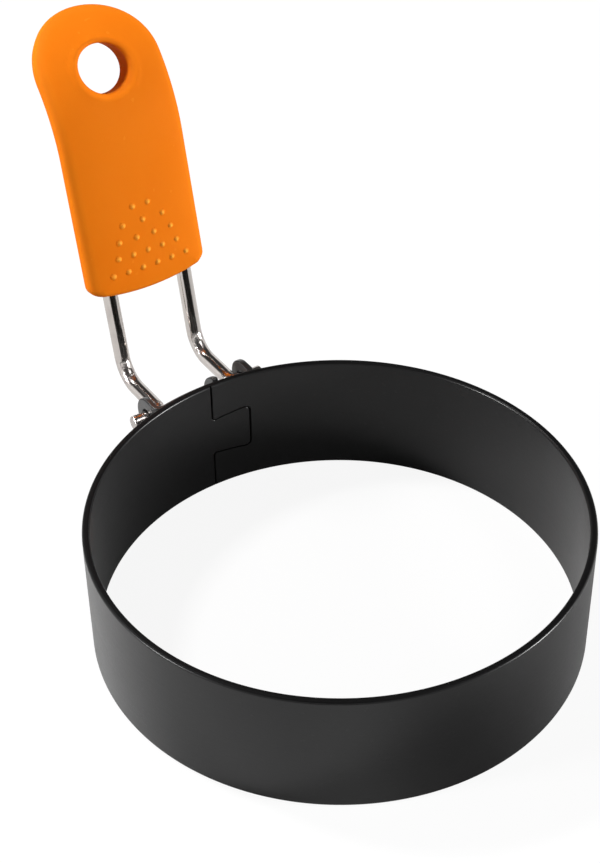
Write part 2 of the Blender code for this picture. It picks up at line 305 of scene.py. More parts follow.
@dataclass(frozen=True)
class CoatedSteel(Finish):
    """Black non-stick coating on steel: satin, slightly pebbled and rubbed at its edges.

    Attributes:
        colour: The coating's colour.
        cloud_colour: Its colour in the paler clouds.
        rubbed_colour: Its colour where it is rubbed thin.
        roughness: Its roughness.
        shine: How strongly it shines.
        sheen: How strongly its grain catches light at flat angles.
        sheen_roughness: How wide that light spreads.
        rim_window: The wear at which the matt sheared rims start and are full.
        rim_shine: How strongly the rims shine.
        rim_roughness: Their roughness.
        rub_window: The wear at which rubbing starts and is full.
        rub: How much is rubbed off at the most.
        rub_polish: How much smoother rubbed places are.
        rub_metal: How much metal they show.
        pebble: How high the pebbles are.
        rolling_height: How high the rolled lines are.
        clouds: The wide clouds. Their strength, as the next two, is a change of roughness.
        pebbles: The coating's pebbles.
        rolling: The lines from rolling the strip.
        rim_pebbles: The pebbles of the rims.
        specks: The small pale specks, and how pale they are.
        patches: Where the rubbing breaks up.
    """

    colour: Triple = (0.0026, 0.0025, 0.0027)
    cloud_colour: Triple = (0.0036, 0.0034, 0.0036)
    rubbed_colour: Triple = (0.045, 0.043, 0.042)
    roughness: float = 0.31
    shine: float = 0.40
    sheen: float = 0.26
    sheen_roughness: float = 0.35
    rim_window: Window = (0.40, 0.95)
    rim_shine: float = 0.08
    rim_roughness: float = 0.55
    rub_window: Window = (0.25, 0.95)
    rub: float = 0.06
    rub_polish: float = 0.12
    rub_metal: float = 0.5
    pebble: float = 0.000006
    rolling_height: float = 0.0000048
    clouds: Noise = Noise(70, 4, 0.6, 0.35, 0.7, 0.08)
    pebbles: Noise = Noise(2600, 3, 0.6, strength=0.10)
    rolling: Noise = Noise(1, 3, 0.6, strength=0.06, stretch=(60, 60, 1500))
    rim_pebbles: Noise = Noise(1900, 3, 0.6, 0.3, 0.7, 0.12)
    specks: Noise = Noise(1500, 1, 0.5, 0.69, 0.75, 0.10)
    patches: Noise = Noise(420, 3, 0.7, 0.38, 0.66)

    def surface(self, graph: Graph) -> Value:
        """Return the coating, with matt sheared rims mixed in.

        Args:
            graph: The material's graph.

        Returns:
            The mixed shader.
        """
        kind = self.rim_pebbles
        grain = graph.noise(graph.place(), kind)
        pale = grain.step(kind.low, kind.high)
        rim = {
            "Base Color": graph.blend(pale, self.colour, self.cloud_colour),
            "Roughness": self.rim_roughness + (grain - NOISE_MIDDLE) * kind.strength,
            "Specular IOR Level": self.rim_shine,
            "Normal": graph.bump(grain, self.pebble),
        }
        sheared = graph.value("ShaderNodeBsdfPrincipled", {}, rim)
        share = graph.attribute("edge").step(*self.rim_window)
        inputs = {0: share, 1: super().surface(graph), 2: sheared}
        return graph.value("ShaderNodeMixShader", {}, inputs)

    def paint(self, graph: Graph) -> dict[str, Any]:
        """Return the surface shader's sockets by name.

        Args:
            graph: The material's graph, where the pattern's nodes go.

        Returns:
            A number, a colour or a node's output for each socket.
        """
        place = graph.place()
        cloud = graph.noise(place, self.clouds)
        grain = graph.noise(place, self.pebbles)
        rolled = graph.noise(place, self.rolling)
        specks = graph.spots(place, self.specks) * self.specks.strength
        edge = graph.attribute("edge").step(*self.rub_window)
        rubbed = edge * graph.spots(place, self.patches) * self.rub
        pale = cloud.step(self.clouds.low, self.clouds.high)
        whole = graph.blend(pale, self.colour, self.cloud_colour)
        roughness: Any = self.roughness
        for noise, kind in ((cloud, self.clouds), (rolled, self.rolling), (grain, self.pebbles)):
            roughness = roughness + (noise - NOISE_MIDDLE) * kind.strength
        pebbled = graph.bump(grain, self.pebble)
        return {
            "Base Color": graph.blend(rubbed + specks, whole, self.rubbed_colour),
            "Roughness": roughness - rubbed * self.rub_polish,
            "Metallic": rubbed * self.rub_metal,
            "Specular IOR Level": self.shine,
            "Sheen Weight": self.sheen,
            "Sheen Roughness": self.sheen_roughness,
            "Normal": graph.bump(rolled, self.rolling_height, pebbled),
        }


@dataclass(frozen=True)
class ChromedWire(Finish):
    """Bright chrome on drawn wire: fine lines along it, and pinched marks at its bends.

    Attributes:
        colour: The chrome's colour.
        dull_colour: Its colour where it is dull.
        roughness: Its roughness.
        cloud_roughness: How much rougher its clouds are.
        crease_roughness: How much rougher its creases are.
        bend_window: The bend at which the creases start and are full.
        drawing_height: How high the drawn lines are.
        pinch: How deep the creases are.
        clouds: The dull clouds, and how dull they are.
        creases: The creases, and how dull they are.
        drawing: The lines from drawing the wire.
    """

    colour: Triple = (0.69, 0.645, 0.61)
    dull_colour: Triple = (0.44, 0.385, 0.38)
    roughness: float = 0.072
    cloud_roughness: float = 0.05
    crease_roughness: float = 0.26
    bend_window: Window = (0.15, 0.85)
    drawing_height: float = 0.000012
    pinch: float = 0.00011
    clouds: Noise = Noise(260, 3, 0.6, 0.45, 0.8, 0.35)
    creases: Noise = Noise(1150, 3, 0.62, 0.42, 0.62, 0.75)
    drawing: Noise = Noise(1, 2, 0.6, stretch=(2600, 900, 60))

    def paint(self, graph: Graph) -> dict[str, Any]:
        """Return the surface shader's sockets by name.

        Args:
            graph: The material's graph, where the pattern's nodes go.

        Returns:
            A number, a colour or a node's output for each socket.
        """
        place = graph.place()
        bend = graph.attribute("bend").step(*self.bend_window)
        cloud = graph.noise(place, self.clouds)
        creases = graph.noise(place, self.creases)
        dull = cloud.step(self.clouds.low, self.clouds.high) * self.clouds.strength
        worn = bend * creases.step(self.creases.low, self.creases.high) * self.creases.strength
        rough = cloud * self.cloud_roughness + bend * creases * self.crease_roughness
        drawn = graph.bump(graph.noise(place, self.drawing), self.drawing_height)
        return {
            "Base Color": graph.blend(dull + worn, self.colour, self.dull_colour),
            "Roughness": self.roughness + rough,
            "Metallic": 1.0,
            "Normal": graph.bump(creases * bend, self.pinch, drawn),
        }


@dataclass(frozen=True)
class SoftSilicone(Finish):
    """Matt orange silicone with a fine moulded skin and faint handling marks.

    Attributes:
        colour: The silicone's colour.
        deep_colour: Its colour in the deeper clouds.
        highlight_edge_and_lint_colour: Its colour on lint, on the rounded edges, and on the dots'
            tops, where it is a painted highlight.
        edge_pale: How pale the rounded edges are.
        roughness: Its roughness.
        shine: How strongly it shines.
        depth: How much of its light goes through it.
        depth_colours: How far red, green and blue light go.
        depth_reach: How far 1 of those is, in metres.
        skin_height: How high the skin's grain is.
        handled_height: How high the handling marks are, in skin heights.
        clouds: The wide clouds, and how deep they are.
        skin: The moulded grain, and how it changes the roughness.
        handling: The handling marks, and how much smoother they are.
        lint: Specks of lint, and how pale they are.
    """

    colour: Triple = (0.785, 0.182, 0.0040)
    deep_colour: Triple = (0.75, 0.162, 0.0020)
    highlight_edge_and_lint_colour: Triple = (1.0, 0.40, 0.045)
    edge_pale: float = 0.04
    roughness: float = 0.74
    shine: float = 0.06
    depth: float = 0.05
    depth_colours: Triple = (1.0, 0.35, 0.10)
    depth_reach: float = 0.0010
    skin_height: float = 0.000010
    handled_height: float = 0.5
    clouds: Noise = Noise(85, 4, 0.55, 0.35, 0.7, 0.45)
    skin: Noise = Noise(2300, 3, 0.6, strength=0.10)
    handling: Noise = Noise(1, 4, 0.65, 0.45, 0.75, 0.07, (260, 260, 120))
    lint: Noise = Noise(950, 0, 0.5, 0.80, 0.84, 0.12)

    def paint(self, graph: Graph) -> dict[str, Any]:
        """Return the surface shader's sockets by name.

        Args:
            graph: The material's graph, where the pattern's nodes go.

        Returns:
            A number, a colour or a node's output for each socket.
        """
        place = graph.place()
        skin = graph.noise(place, self.skin)
        handled = graph.spots(place, self.handling)
        cloud = graph.spots(place, self.clouds) * self.clouds.strength
        lint = graph.spots(place, self.lint) * self.lint.strength
        # pale mixes the dots' painted highlight with the paler rounded edges and lint specks
        pale = graph.attribute("pale") + graph.attribute("edge") * self.edge_pale + lint
        base = graph.blend(cloud, self.colour, self.deep_colour)
        grainy = self.roughness + (skin - NOISE_MIDDLE) * self.skin.strength
        return {
            "Base Color": graph.blend(pale, base, self.highlight_edge_and_lint_colour),
            "Roughness": grainy - handled * self.handling.strength,
            "Specular IOR Level": self.shine,
            "Subsurface Weight": self.depth,
            "Subsurface Radius": self.depth_colours,
            "Subsurface Scale": self.depth_reach,
            "Normal": graph.bump(skin + handled * self.handled_height, self.skin_height),
        }


# ---------------------------------------------------------------- mesh helpers


def linked(name: str, data: bpy.types.ID) -> bpy.types.Object:
    """Return a new object in the scene.

    Args:
        name: The object's name.
        data: The mesh, curve, lamp or camera that it holds.

    Returns:
        The object.
    """
    made = bpy.data.objects.new(name, data)
    bpy.context.scene.collection.objects.link(made)
    return made


def turned_out(mesh: bpy.types.Mesh, reach: float = 0.0) -> None:
    """Turn a mesh's faces outwards.

    Args:
        mesh: The mesh, which is changed.
        reach: Points closer than this are joined first.
    """
    solid = bmesh.new()
    solid.from_mesh(mesh)
    if reach:
        bmesh.ops.remove_doubles(solid, verts=solid.verts, dist=reach)
    bmesh.ops.recalc_face_normals(solid, faces=solid.faces)
    solid.to_mesh(mesh)
    solid.free()


def mesh_of(
    name: str, points: Sequence[Any], faces: Sequence[Any], edges: Sequence[Any] = ()
) -> bpy.types.Mesh:
    """Return a mesh from plain lists, with its faces outwards and smooth.

    Args:
        name: The mesh's name.
        points: Its vertices.
        faces: Its faces, as lists of vertex numbers.
        edges: Its loose edges, where it has no faces.

    Returns:
        The mesh.
    """
    mesh = bpy.data.meshes.new(name)
    mesh.from_pydata([tuple(point) for point in points], list(edges), list(faces))
    if faces:
        turned_out(mesh)
        mesh.shade_smooth()
    return mesh


def bridge(first: int, second: int, count: int) -> Faces:
    """Return the faces between two closed rows of vertices.

    Args:
        first: The number of the first row's first vertex.
        second: The number of the second row's first vertex.
        count: How many vertices each row has.

    Returns:
        One four-sided face for each vertex of a row.
    """
    return [
        (first + index, first + (index + 1) % count, second + (index + 1) % count, second + index)
        for index in range(count)
    ]


def give(mesh: bpy.types.Mesh, name: str, numbers: Sequence[float]) -> None:
    """Store one number at each vertex of a mesh."""
    stored = mesh.attributes.new(name, "FLOAT", "POINT")
    stored.data.foreach_set("value", np.asarray(numbers, dtype=np.float32))


def settled(source: bpy.types.Object, name: str) -> bpy.types.Object:
    """Turn an object with modifiers into a plain mesh object.

    Args:
        source: The object, which is removed.
        name: The new object's name.

    Returns:
        The new object, in the scene.
    """
    bpy.context.view_layer.update()
    evaluated = source.evaluated_get(bpy.context.evaluated_depsgraph_get())
    mesh = bpy.data.meshes.new_from_object(evaluated)
    bpy.data.objects.remove(source)
    mesh.name = name
    return linked(name, mesh)


def cut(target: bpy.types.Object, tool: bpy.types.Object, name: str) -> bpy.types.Object:
    """Take one closed shape out of another.

    Args:
        target: The shape that is cut. It is replaced.
        tool: The shape that cuts. It is removed.
        name: The result's name.

    Returns:
        The cut object.
    """
    step = target.modifiers.new("cut", "BOOLEAN")
    step.operation = "DIFFERENCE"
    step.solver = "EXACT"
    step.object = tool
    result = settled(target, name)
    bpy.data.objects.remove(tool)
    return result


def dressed(piece: bpy.types.Object, body: Body, node: str, finish: Finish) -> bpy.types.Object:
    """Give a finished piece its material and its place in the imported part.

    Args:
        piece: The piece, at the origin, with its place in its mesh.
        body: The body that it rides on.
        node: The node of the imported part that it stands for.
        finish: Its finish.

    Returns:
        The piece.
    """
    piece.data.materials.clear()
    piece.data.materials.append(finish.material())
    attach(piece, body.value)
    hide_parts(node)
    log.info("%s: %d faces, rides on %s", piece.name, len(piece.data.polygons), body.value)
    return piece


def rows_of(spots: Sequence[Vector]) -> np.ndarray:
    """Return vectors as the rows of an array."""
    return np.array([tuple(spot) for spot in spots])


def mirrored(half: list[Vector]) -> list[Vector]:
    """Return a path that ends in the middle, X = 0, followed by its mirror image."""
    return half + [Vector((-spot.x, spot.y, spot.z)) for spot in reversed(half[:-1])]


def arc(
    centre: Sequence[float], radius: float, start: float, end: float, steps: int = ARC_STEPS
) -> np.ndarray:
    """Return the points of a flat arc.

    Args:
        centre: The arc's centre.
        radius: Its radius.
        start: The angle where it starts.
        end: The angle where it ends.
        steps: How many steps it has.

    Returns:
        One point more than steps, both ends included.
    """
    angles = np.linspace(start, end, steps + 1)
    turning = np.column_stack([np.cos(angles), np.sin(angles)])
    return np.asarray(centre) + radius * turning


def rounded(
    corners: Sequence[Vector], radii: Sequence[float], step: float = radians(4)
) -> list[Vector]:
    """Return a path through corners with each inner one turned into an arc.

    Args:
        corners: The path's corners.
        radii: The arc's radius at each inner corner.
        step: The largest turn between two points of an arc.

    Returns:
        The rounded path.
    """
    path = [corners[0]]
    for before, corner, after, radius in zip(corners, corners[1:], corners[2:], radii):
        back = (before - corner).normalized()
        onward = (after - corner).normalized()
        half = acos(max(-1.0, min(1.0, back.dot(onward)))) / 2
        turn = pi - 2 * half
        centre = corner + (back + onward).normalized() * (radius / sin(half))
        reach = radius * cos(half) / sin(half)
        start = corner + back * reach - centre
        end = corner + onward * reach - centre
        steps = max(2, ceil(turn / step))
        for index in range(steps + 1):
            share = index / steps
            arm = start * sin((1 - share) * turn) + end * sin(share * turn)
            path.append(centre + arm / sin(turn))
    path.append(corners[-1])
    return path


def spaced(points: np.ndarray, spacing: float, closed: bool) -> np.ndarray:
    """Return a path with its points spread evenly along it.

    Args:
        points: The path's points, in two or three dimensions.
        spacing: The wanted distance between points.
        closed: Whether the path runs round to its first point.

    Returns:
        The evenly spaced points. A closed path doesn't repeat its first point.
    """
    path = np.vstack([points, points[:1]]) if closed else points
    lengths = np.linalg.norm(np.diff(path, axis=0), axis=1)
    along = np.concatenate([[0.0], np.cumsum(lengths)])
    count = max(8, round(along[-1] / spacing))
    wanted = np.linspace(0, along[-1], count + 1)
    if closed:
        wanted = wanted[:-1]
    return np.column_stack([np.interp(wanted, along, column) for column in path.T])


def moved_in(loop: np.ndarray, distances: np.ndarray) -> np.ndarray:
    """Return a closed loop moved to the left of the way it runs.

    Args:
        loop: The loop's points.
        distances: How far each edge beside a point moves.

    Returns:
        The moved points, with the loop's corners kept.
    """
    onward = np.roll(loop, -1, axis=0) - loop
    onward /= np.linalg.norm(onward, axis=1, keepdims=True)
    after = np.column_stack([-onward[:, 1], onward[:, 0]])
    before = np.roll(after, 1, axis=0)
    share = 1 + (after * before).sum(axis=1, keepdims=True)
    return loop + (after + before) / share * distances[:, None]


def within(points: np.ndarray, loop: np.ndarray) -> np.ndarray:
    """Return which points lie inside a closed loop.

    Args:
        points: The points.
        loop: The loop's points.

    Returns:
        One truth value for each point.
    """
    found = np.zeros(len(points), dtype=bool)
    for first, second in zip(loop, np.roll(loop, -1, axis=0)):
        crosses = (first[1] > points[:, 1]) != (second[1] > points[:, 1])
        if first[1] != second[1]:
            share = (points[:, 1] - first[1]) / (second[1] - first[1])
            found ^= crosses & (points[:, 0] < first[0] + share * (second[0] - first[0]))
    return found


def gap_to(points: np.ndarray, loop: np.ndarray) -> np.ndarray:
    """Return the squared distance from each point to the nearest point of a loop."""
    gaps = points[:, None, :] - loop[None, :, :]
    return (gaps ** 2).sum(axis=2).min(axis=1)


@dataclass
class Slab:
    """A flat plate with rounded edges and holes, which is then laid on its own surface.

    Attributes:
        outline: The plate's outline, anticlockwise.
        holes: The outlines of its holes, anticlockwise.
        half_thickness: Half of the plate's thickness.
        edge_radius: The rounding of its outline, one value or one for each point.
        spacing: The distance between points on its faces.
        round_steps: How many facets make each rounding.
        wall_steps: How many rows of facets cross its straight wall.
        hole_edge: The rounding of its holes' edges, where it isn't the outline's.
        rise: How far the face still rises behind the rounding.
        rise_reach: How far in that soft rise runs.
        clearance: How far the faces' points keep from the rims, in spacings.
        join: Points of a face closer than this are one.
    """

    outline: np.ndarray
    holes: list[np.ndarray]
    half_thickness: float
    edge_radius: float | np.ndarray
    spacing: float
    round_steps: int
    wall_steps: int
    hole_edge: float | None = None
    rise: float = 0.0
    rise_reach: float = MILLIMETRE
    clearance: float = 0.6
    join: float = 1e-9

    def section(self, radius: np.ndarray, rise: float) -> Section:
        """Return an edge's section, from front to back.

        Args:
            radius: The rounding at each point of the edge.
            rise: How far the face still rises behind it.

        Returns:
            How far in, how high and how rounded each row of points is.
        """
        start = pi / 2 - atan2(rise, self.rise_reach)
        straight = self.half_thickness - rise - radius * sin(start)
        front = []
        for step in range(self.round_steps + 1):
            angle = start * (1 - step / self.round_steps)
            height = straight + radius * sin(angle)
            front.append((radius * (1 - cos(angle)), height, sin(2 * angle)))
        shares = [1 - 2 * step / self.wall_steps for step in range(1, self.wall_steps)]
        wall = [(radius * 0, straight * share, 0.0) for share in shares]
        back = [(inset, -height, edge) for inset, height, edge in reversed(front)]
        return front + wall + back

    def face_points(self, rims: list[np.ndarray]) -> np.ndarray:
        """Return an even grid of points on the flat face.

        Args:
            rims: The face's outer rim and the rims of its holes.

        Returns:
            The points between the rims.
        """
        low = rims[0].min(axis=0)
        high = rims[0].max(axis=0)
        sides = [np.arange(first, last, self.spacing) for first, last in zip(low, high)]
        grid = np.array(np.meshgrid(*sides)).reshape(2, -1).T
        keep = within(grid, rims[0])
        for rim in rims:
            keep &= gap_to(grid, rim) > (self.spacing * self.clearance) ** 2
        for rim in rims[1:]:
            keep &= ~within(grid, rim)
        return grid[keep]

    def face_height(self, rims: list[np.ndarray], inner: np.ndarray) -> np.ndarray:
        """Return how high the face's inner points stand, soft towards its outer rim."""
        nearest = np.sqrt(gap_to(inner, rims[0]))
        return self.half_thickness - self.rise * np.exp(-nearest / self.rise_reach)

    def face_triangles(self, rims: list[np.ndarray], inner: np.ndarray) -> Faces:
        """Return the flat face's triangles.

        Args:
            rims: The face's outer rim and the rims of its holes.
            inner: The points between the rims.

        Returns:
            The triangles, numbered over the rims' points and then the inner ones.
        """
        points = np.vstack([*rims, inner])
        edges = []
        start = 0
        for rim in rims:
            count = len(rim)
            edges += [(start + index, start + (index + 1) % count) for index in range(count)]
            start += count
        spots = [Vector(point) for point in points]
        made = delaunay_2d_cdt(spots, edges, [], INSIDE_EDGES, self.join)
        numbers = [source[0] for source in made[3]]
        triangles = np.array([[numbers[index] for index in face] for face in made[2]])
        middles = points[triangles].mean(axis=1)
        keep = np.ones(len(triangles), dtype=bool)
        for rim in rims[1:]:
            keep &= ~within(middles, rim)
        return [tuple(int(index) for index in triangle) for triangle in triangles[keep]]

    def build(self, name: str, lay: Callable[[np.ndarray], np.ndarray]) -> bpy.types.Mesh:
        """Build the plate.

        Args:
            name: The mesh's name.
            lay: Takes flat points (across, along, front) to places in the part.

        Returns:
            The closed mesh, with how rounded each vertex is stored as "edge".
        """
        points: list[np.ndarray] = []
        edge: list[float] = []
        faces: Faces = []
        rims = []
        front: list[int] = []
        back: list[int] = []
        total = 0
        for order, loop in enumerate([self.outline, *self.holes]):
            count = len(loop)
            side = 1 if order == 0 else -1
            radius = self.edge_radius if order == 0 else self.hole_edge or self.edge_radius
            section = self.section(np.ones(count) * radius, 0.0 if order else self.rise)
            for row, (inset, height, wear) in enumerate(section):
                points.append(np.column_stack([moved_in(loop, side * inset), height]))
                edge += [wear] * count
                if row:
                    start = total + row * count
                    faces += bridge(start - count, start, count)
            rims.append(moved_in(loop, side * section[0][0]))
            front += range(total, total + count)
            total += len(section) * count
            back += range(total - count, total)
        inner = self.face_points(rims)
        heights = self.face_height(rims, inner)
        for side, numbers in ((1, front), (-1, back)):
            points.append(np.column_stack([inner, side * heights]))
            edge += [0.0] * len(inner)
            numbers += range(total, total + len(inner))
            total += len(inner)
        triangles = self.face_triangles(rims, inner)
        faces += [tuple(front[index] for index in triangle) for triangle in triangles]
        faces += [tuple(back[index] for index in reversed(triangle)) for triangle in triangles]
        mesh = mesh_of(name, lay(np.vstack(points)), faces)
        give(mesh, "edge", edge)
        return mesh


class Shaper:
    """A Geometry Nodes tree with named inputs, and the modifier that runs it."""

    def __init__(self, name: str) -> None:
        """Start an empty tree that takes and returns geometry.

        Args:
            name: The tree's name.
        """
        self.tree = bpy.data.node_groups.new(name, "GeometryNodeTree")
        self.graph = Graph(self.tree)
        for way in ("OUTPUT", "INPUT"):
            sockets = self.tree.interface
            sockets.new_socket("Geometry", in_out=way, socket_type="NodeSocketGeometry")
        self.entry = self.tree.nodes.new("NodeGroupInput")
        self.given: dict[str, Any] = {}

    def geometry(self) -> bpy.types.NodeSocket:
        """Return the geometry that comes in."""
        return self.entry.outputs["Geometry"]

    def size(self, name: str, given: Any, kind: str = "Float") -> bpy.types.NodeSocket:
        """Add a named input.

        Args:
            name: The input's name.
            given: Its value on the modifier.
            kind: Float, Int, Vector, Object or Material.

        Returns:
            The input, to be linked inside the tree.
        """
        self.tree.interface.new_socket(name, in_out="INPUT", socket_type="NodeSocket" + kind)
        self.given[name] = given
        return self.entry.outputs[name]

    def add(
        self, kind: str, inputs: Inputs, settings: Settings | None = None, out: Any = 0
    ) -> bpy.types.NodeSocket:
        """Add a node and return one of its outputs.

        Args:
            kind: The node's type, without its first words, GeometryNode.
            inputs: Values or outputs for its sockets.
            settings: Its own settings.
            out: The output's name or number.

        Returns:
            The output.
        """
        return self.graph.node("GeometryNode" + kind, settings or {}, inputs).outputs[out]

    def close(self, geometry: bpy.types.NodeSocket, finish: bpy.types.NodeSocket) -> None:
        """End the tree: smooth, realized and with its material.

        Args:
            geometry: What the tree returns.
            finish: The input that holds its material.
        """
        smooth = self.add("SetShadeSmooth", {"Geometry": geometry})
        real = self.add("RealizeInstances", {"Geometry": smooth})
        named = self.add("SetMaterial", {"Geometry": real, "Material": finish})
        self.graph.node("NodeGroupOutput", {}, {"Geometry": named})

    def run(self, piece: bpy.types.Object) -> None:
        """Put the tree on a piece, with every named input set by its identifier.

        Args:
            piece: The object that gets the modifier.
        """
        step = piece.modifiers.new(self.tree.name, "NODES")
        step.node_group = self.tree
        for item in self.tree.interface.items_tree:
            if item.in_out == "INPUT" and item.name in self.given:
                step[item.identifier] = self.given[item.name]


# ---------------------------------------------------------------- the band


@dataclass
class Seam:
    """The dovetail that closes the band: a tongue of one end in the other end.

    Attributes:
        offset: How far the butt line stands from the middle of the back.
        reach: The tongue's length.
        root: The tongue's width where it starts.
        tip: The tongue's width at its end.
        root_radius: The rounding where the tongue starts.
        tip_radius: The rounding at its end.
        gap: The width of the joint just inside its lips.
        lip: How much wider the joint is at the surfaces, on each side.
        lip_depth: How deep the rounded lips go.
        lip_shape: How wide and how deep the lips' middle is, as shares.
        pressed: Half the joint's width inside the wall, where its edges are pressed tight.
        pressed_depth: How deep that starts.
        overrun: How far the cutter runs past the wall.
        turn_step: The largest turn of its line at one point.
    """

    offset: float = 0.0003
    reach: float = 0.0067
    root: float = 0.0067
    tip: float = 0.0082
    root_radius: float = 0.0005
    tip_radius: float = 0.0009
    gap: float = 0.0002
    lip: float = 0.00010
    lip_depth: float = 0.00016
    lip_shape: Window = (0.30, 0.35)
    pressed: float = 0.000005
    pressed_depth: float = 0.00042
    overrun: float = 0.0006
    turn_step: float = radians(12)

    def path(self, height: float) -> list[Vector]:
        """Return the joint's line, past both rims.

        Args:
            height: The band's height.

        Returns:
            Points with X across and Y up.
        """
        middle = height / 2
        end = self.offset + self.reach
        corners = [
            Vector((self.offset, -self.overrun)),
            Vector((self.offset, middle - self.root / 2)),
            Vector((end, middle - self.tip / 2)),
            Vector((end, middle + self.tip / 2)),
            Vector((self.offset, middle + self.root / 2)),
            Vector((self.offset, height + self.overrun)),
        ]
        radii = [self.root_radius, self.tip_radius, self.tip_radius, self.root_radius]
        return rounded(corners, radii, self.turn_step)

    def profile(self, inner: float, outer: float) -> list[tuple[float, float]]:
        """Return the cutter's section through the wall.

        Args:
            inner: The wall's inner radius.
            outer: Its outer radius.

        Returns:
            How far aside, and how far from the ring's axis, each point is.
        """
        thin = self.gap / 2
        wide = thin + self.lip
        mid = thin + self.lip * self.lip_shape[0]
        half = self.lip_depth * self.lip_shape[1]
        side = [
            (wide, outer + self.overrun),
            (wide, outer),
            (mid, outer - half),
            (thin, outer - self.lip_depth),
            (self.pressed, outer - self.pressed_depth),
            (self.pressed, inner + self.pressed_depth),
            (thin, inner + self.lip_depth),
            (mid, inner + half),
            (wide, inner),
            (wide, inner - self.overrun),
        ]
        return side + [(-aside, out) for aside, out in reversed(side)]

    def cutter(self, inner: float, outer: float, height: float) -> bpy.types.Object:
        """Return the shape that cuts the joint through the wall.

        Args:
            inner: The wall's inner radius.
            outer: Its outer radius.
            height: The band's height.

        Returns:
            A closed object.
        """
        line = self.path(height)
        profile = self.profile(inner, outer)
        count = len(profile)
        points = []
        faces = []
        for index, spot in enumerate(line):
            before = (line[max(index, 1)] - line[max(index, 1) - 1]).normalized()
            after = (line[index + 1] - spot).normalized() if index + 1 < len(line) else before
            aside = Vector((-before.y - after.y, before.x + after.x)) / (1 + before.dot(after))
            for offset, out in profile:
                across, up = spot + aside * offset
                points.append(RING_CENTRE + Vector((across, sqrt(out ** 2 - across ** 2), up)))
            if index:
                faces += bridge((index - 1) * count, index * count, count)
        faces.append(tuple(range(count)))
        faces.append(tuple(reversed(range(len(points) - count, len(points)))))
        return linked("seam_cutter", mesh_of("seam_cutter", points, faces))


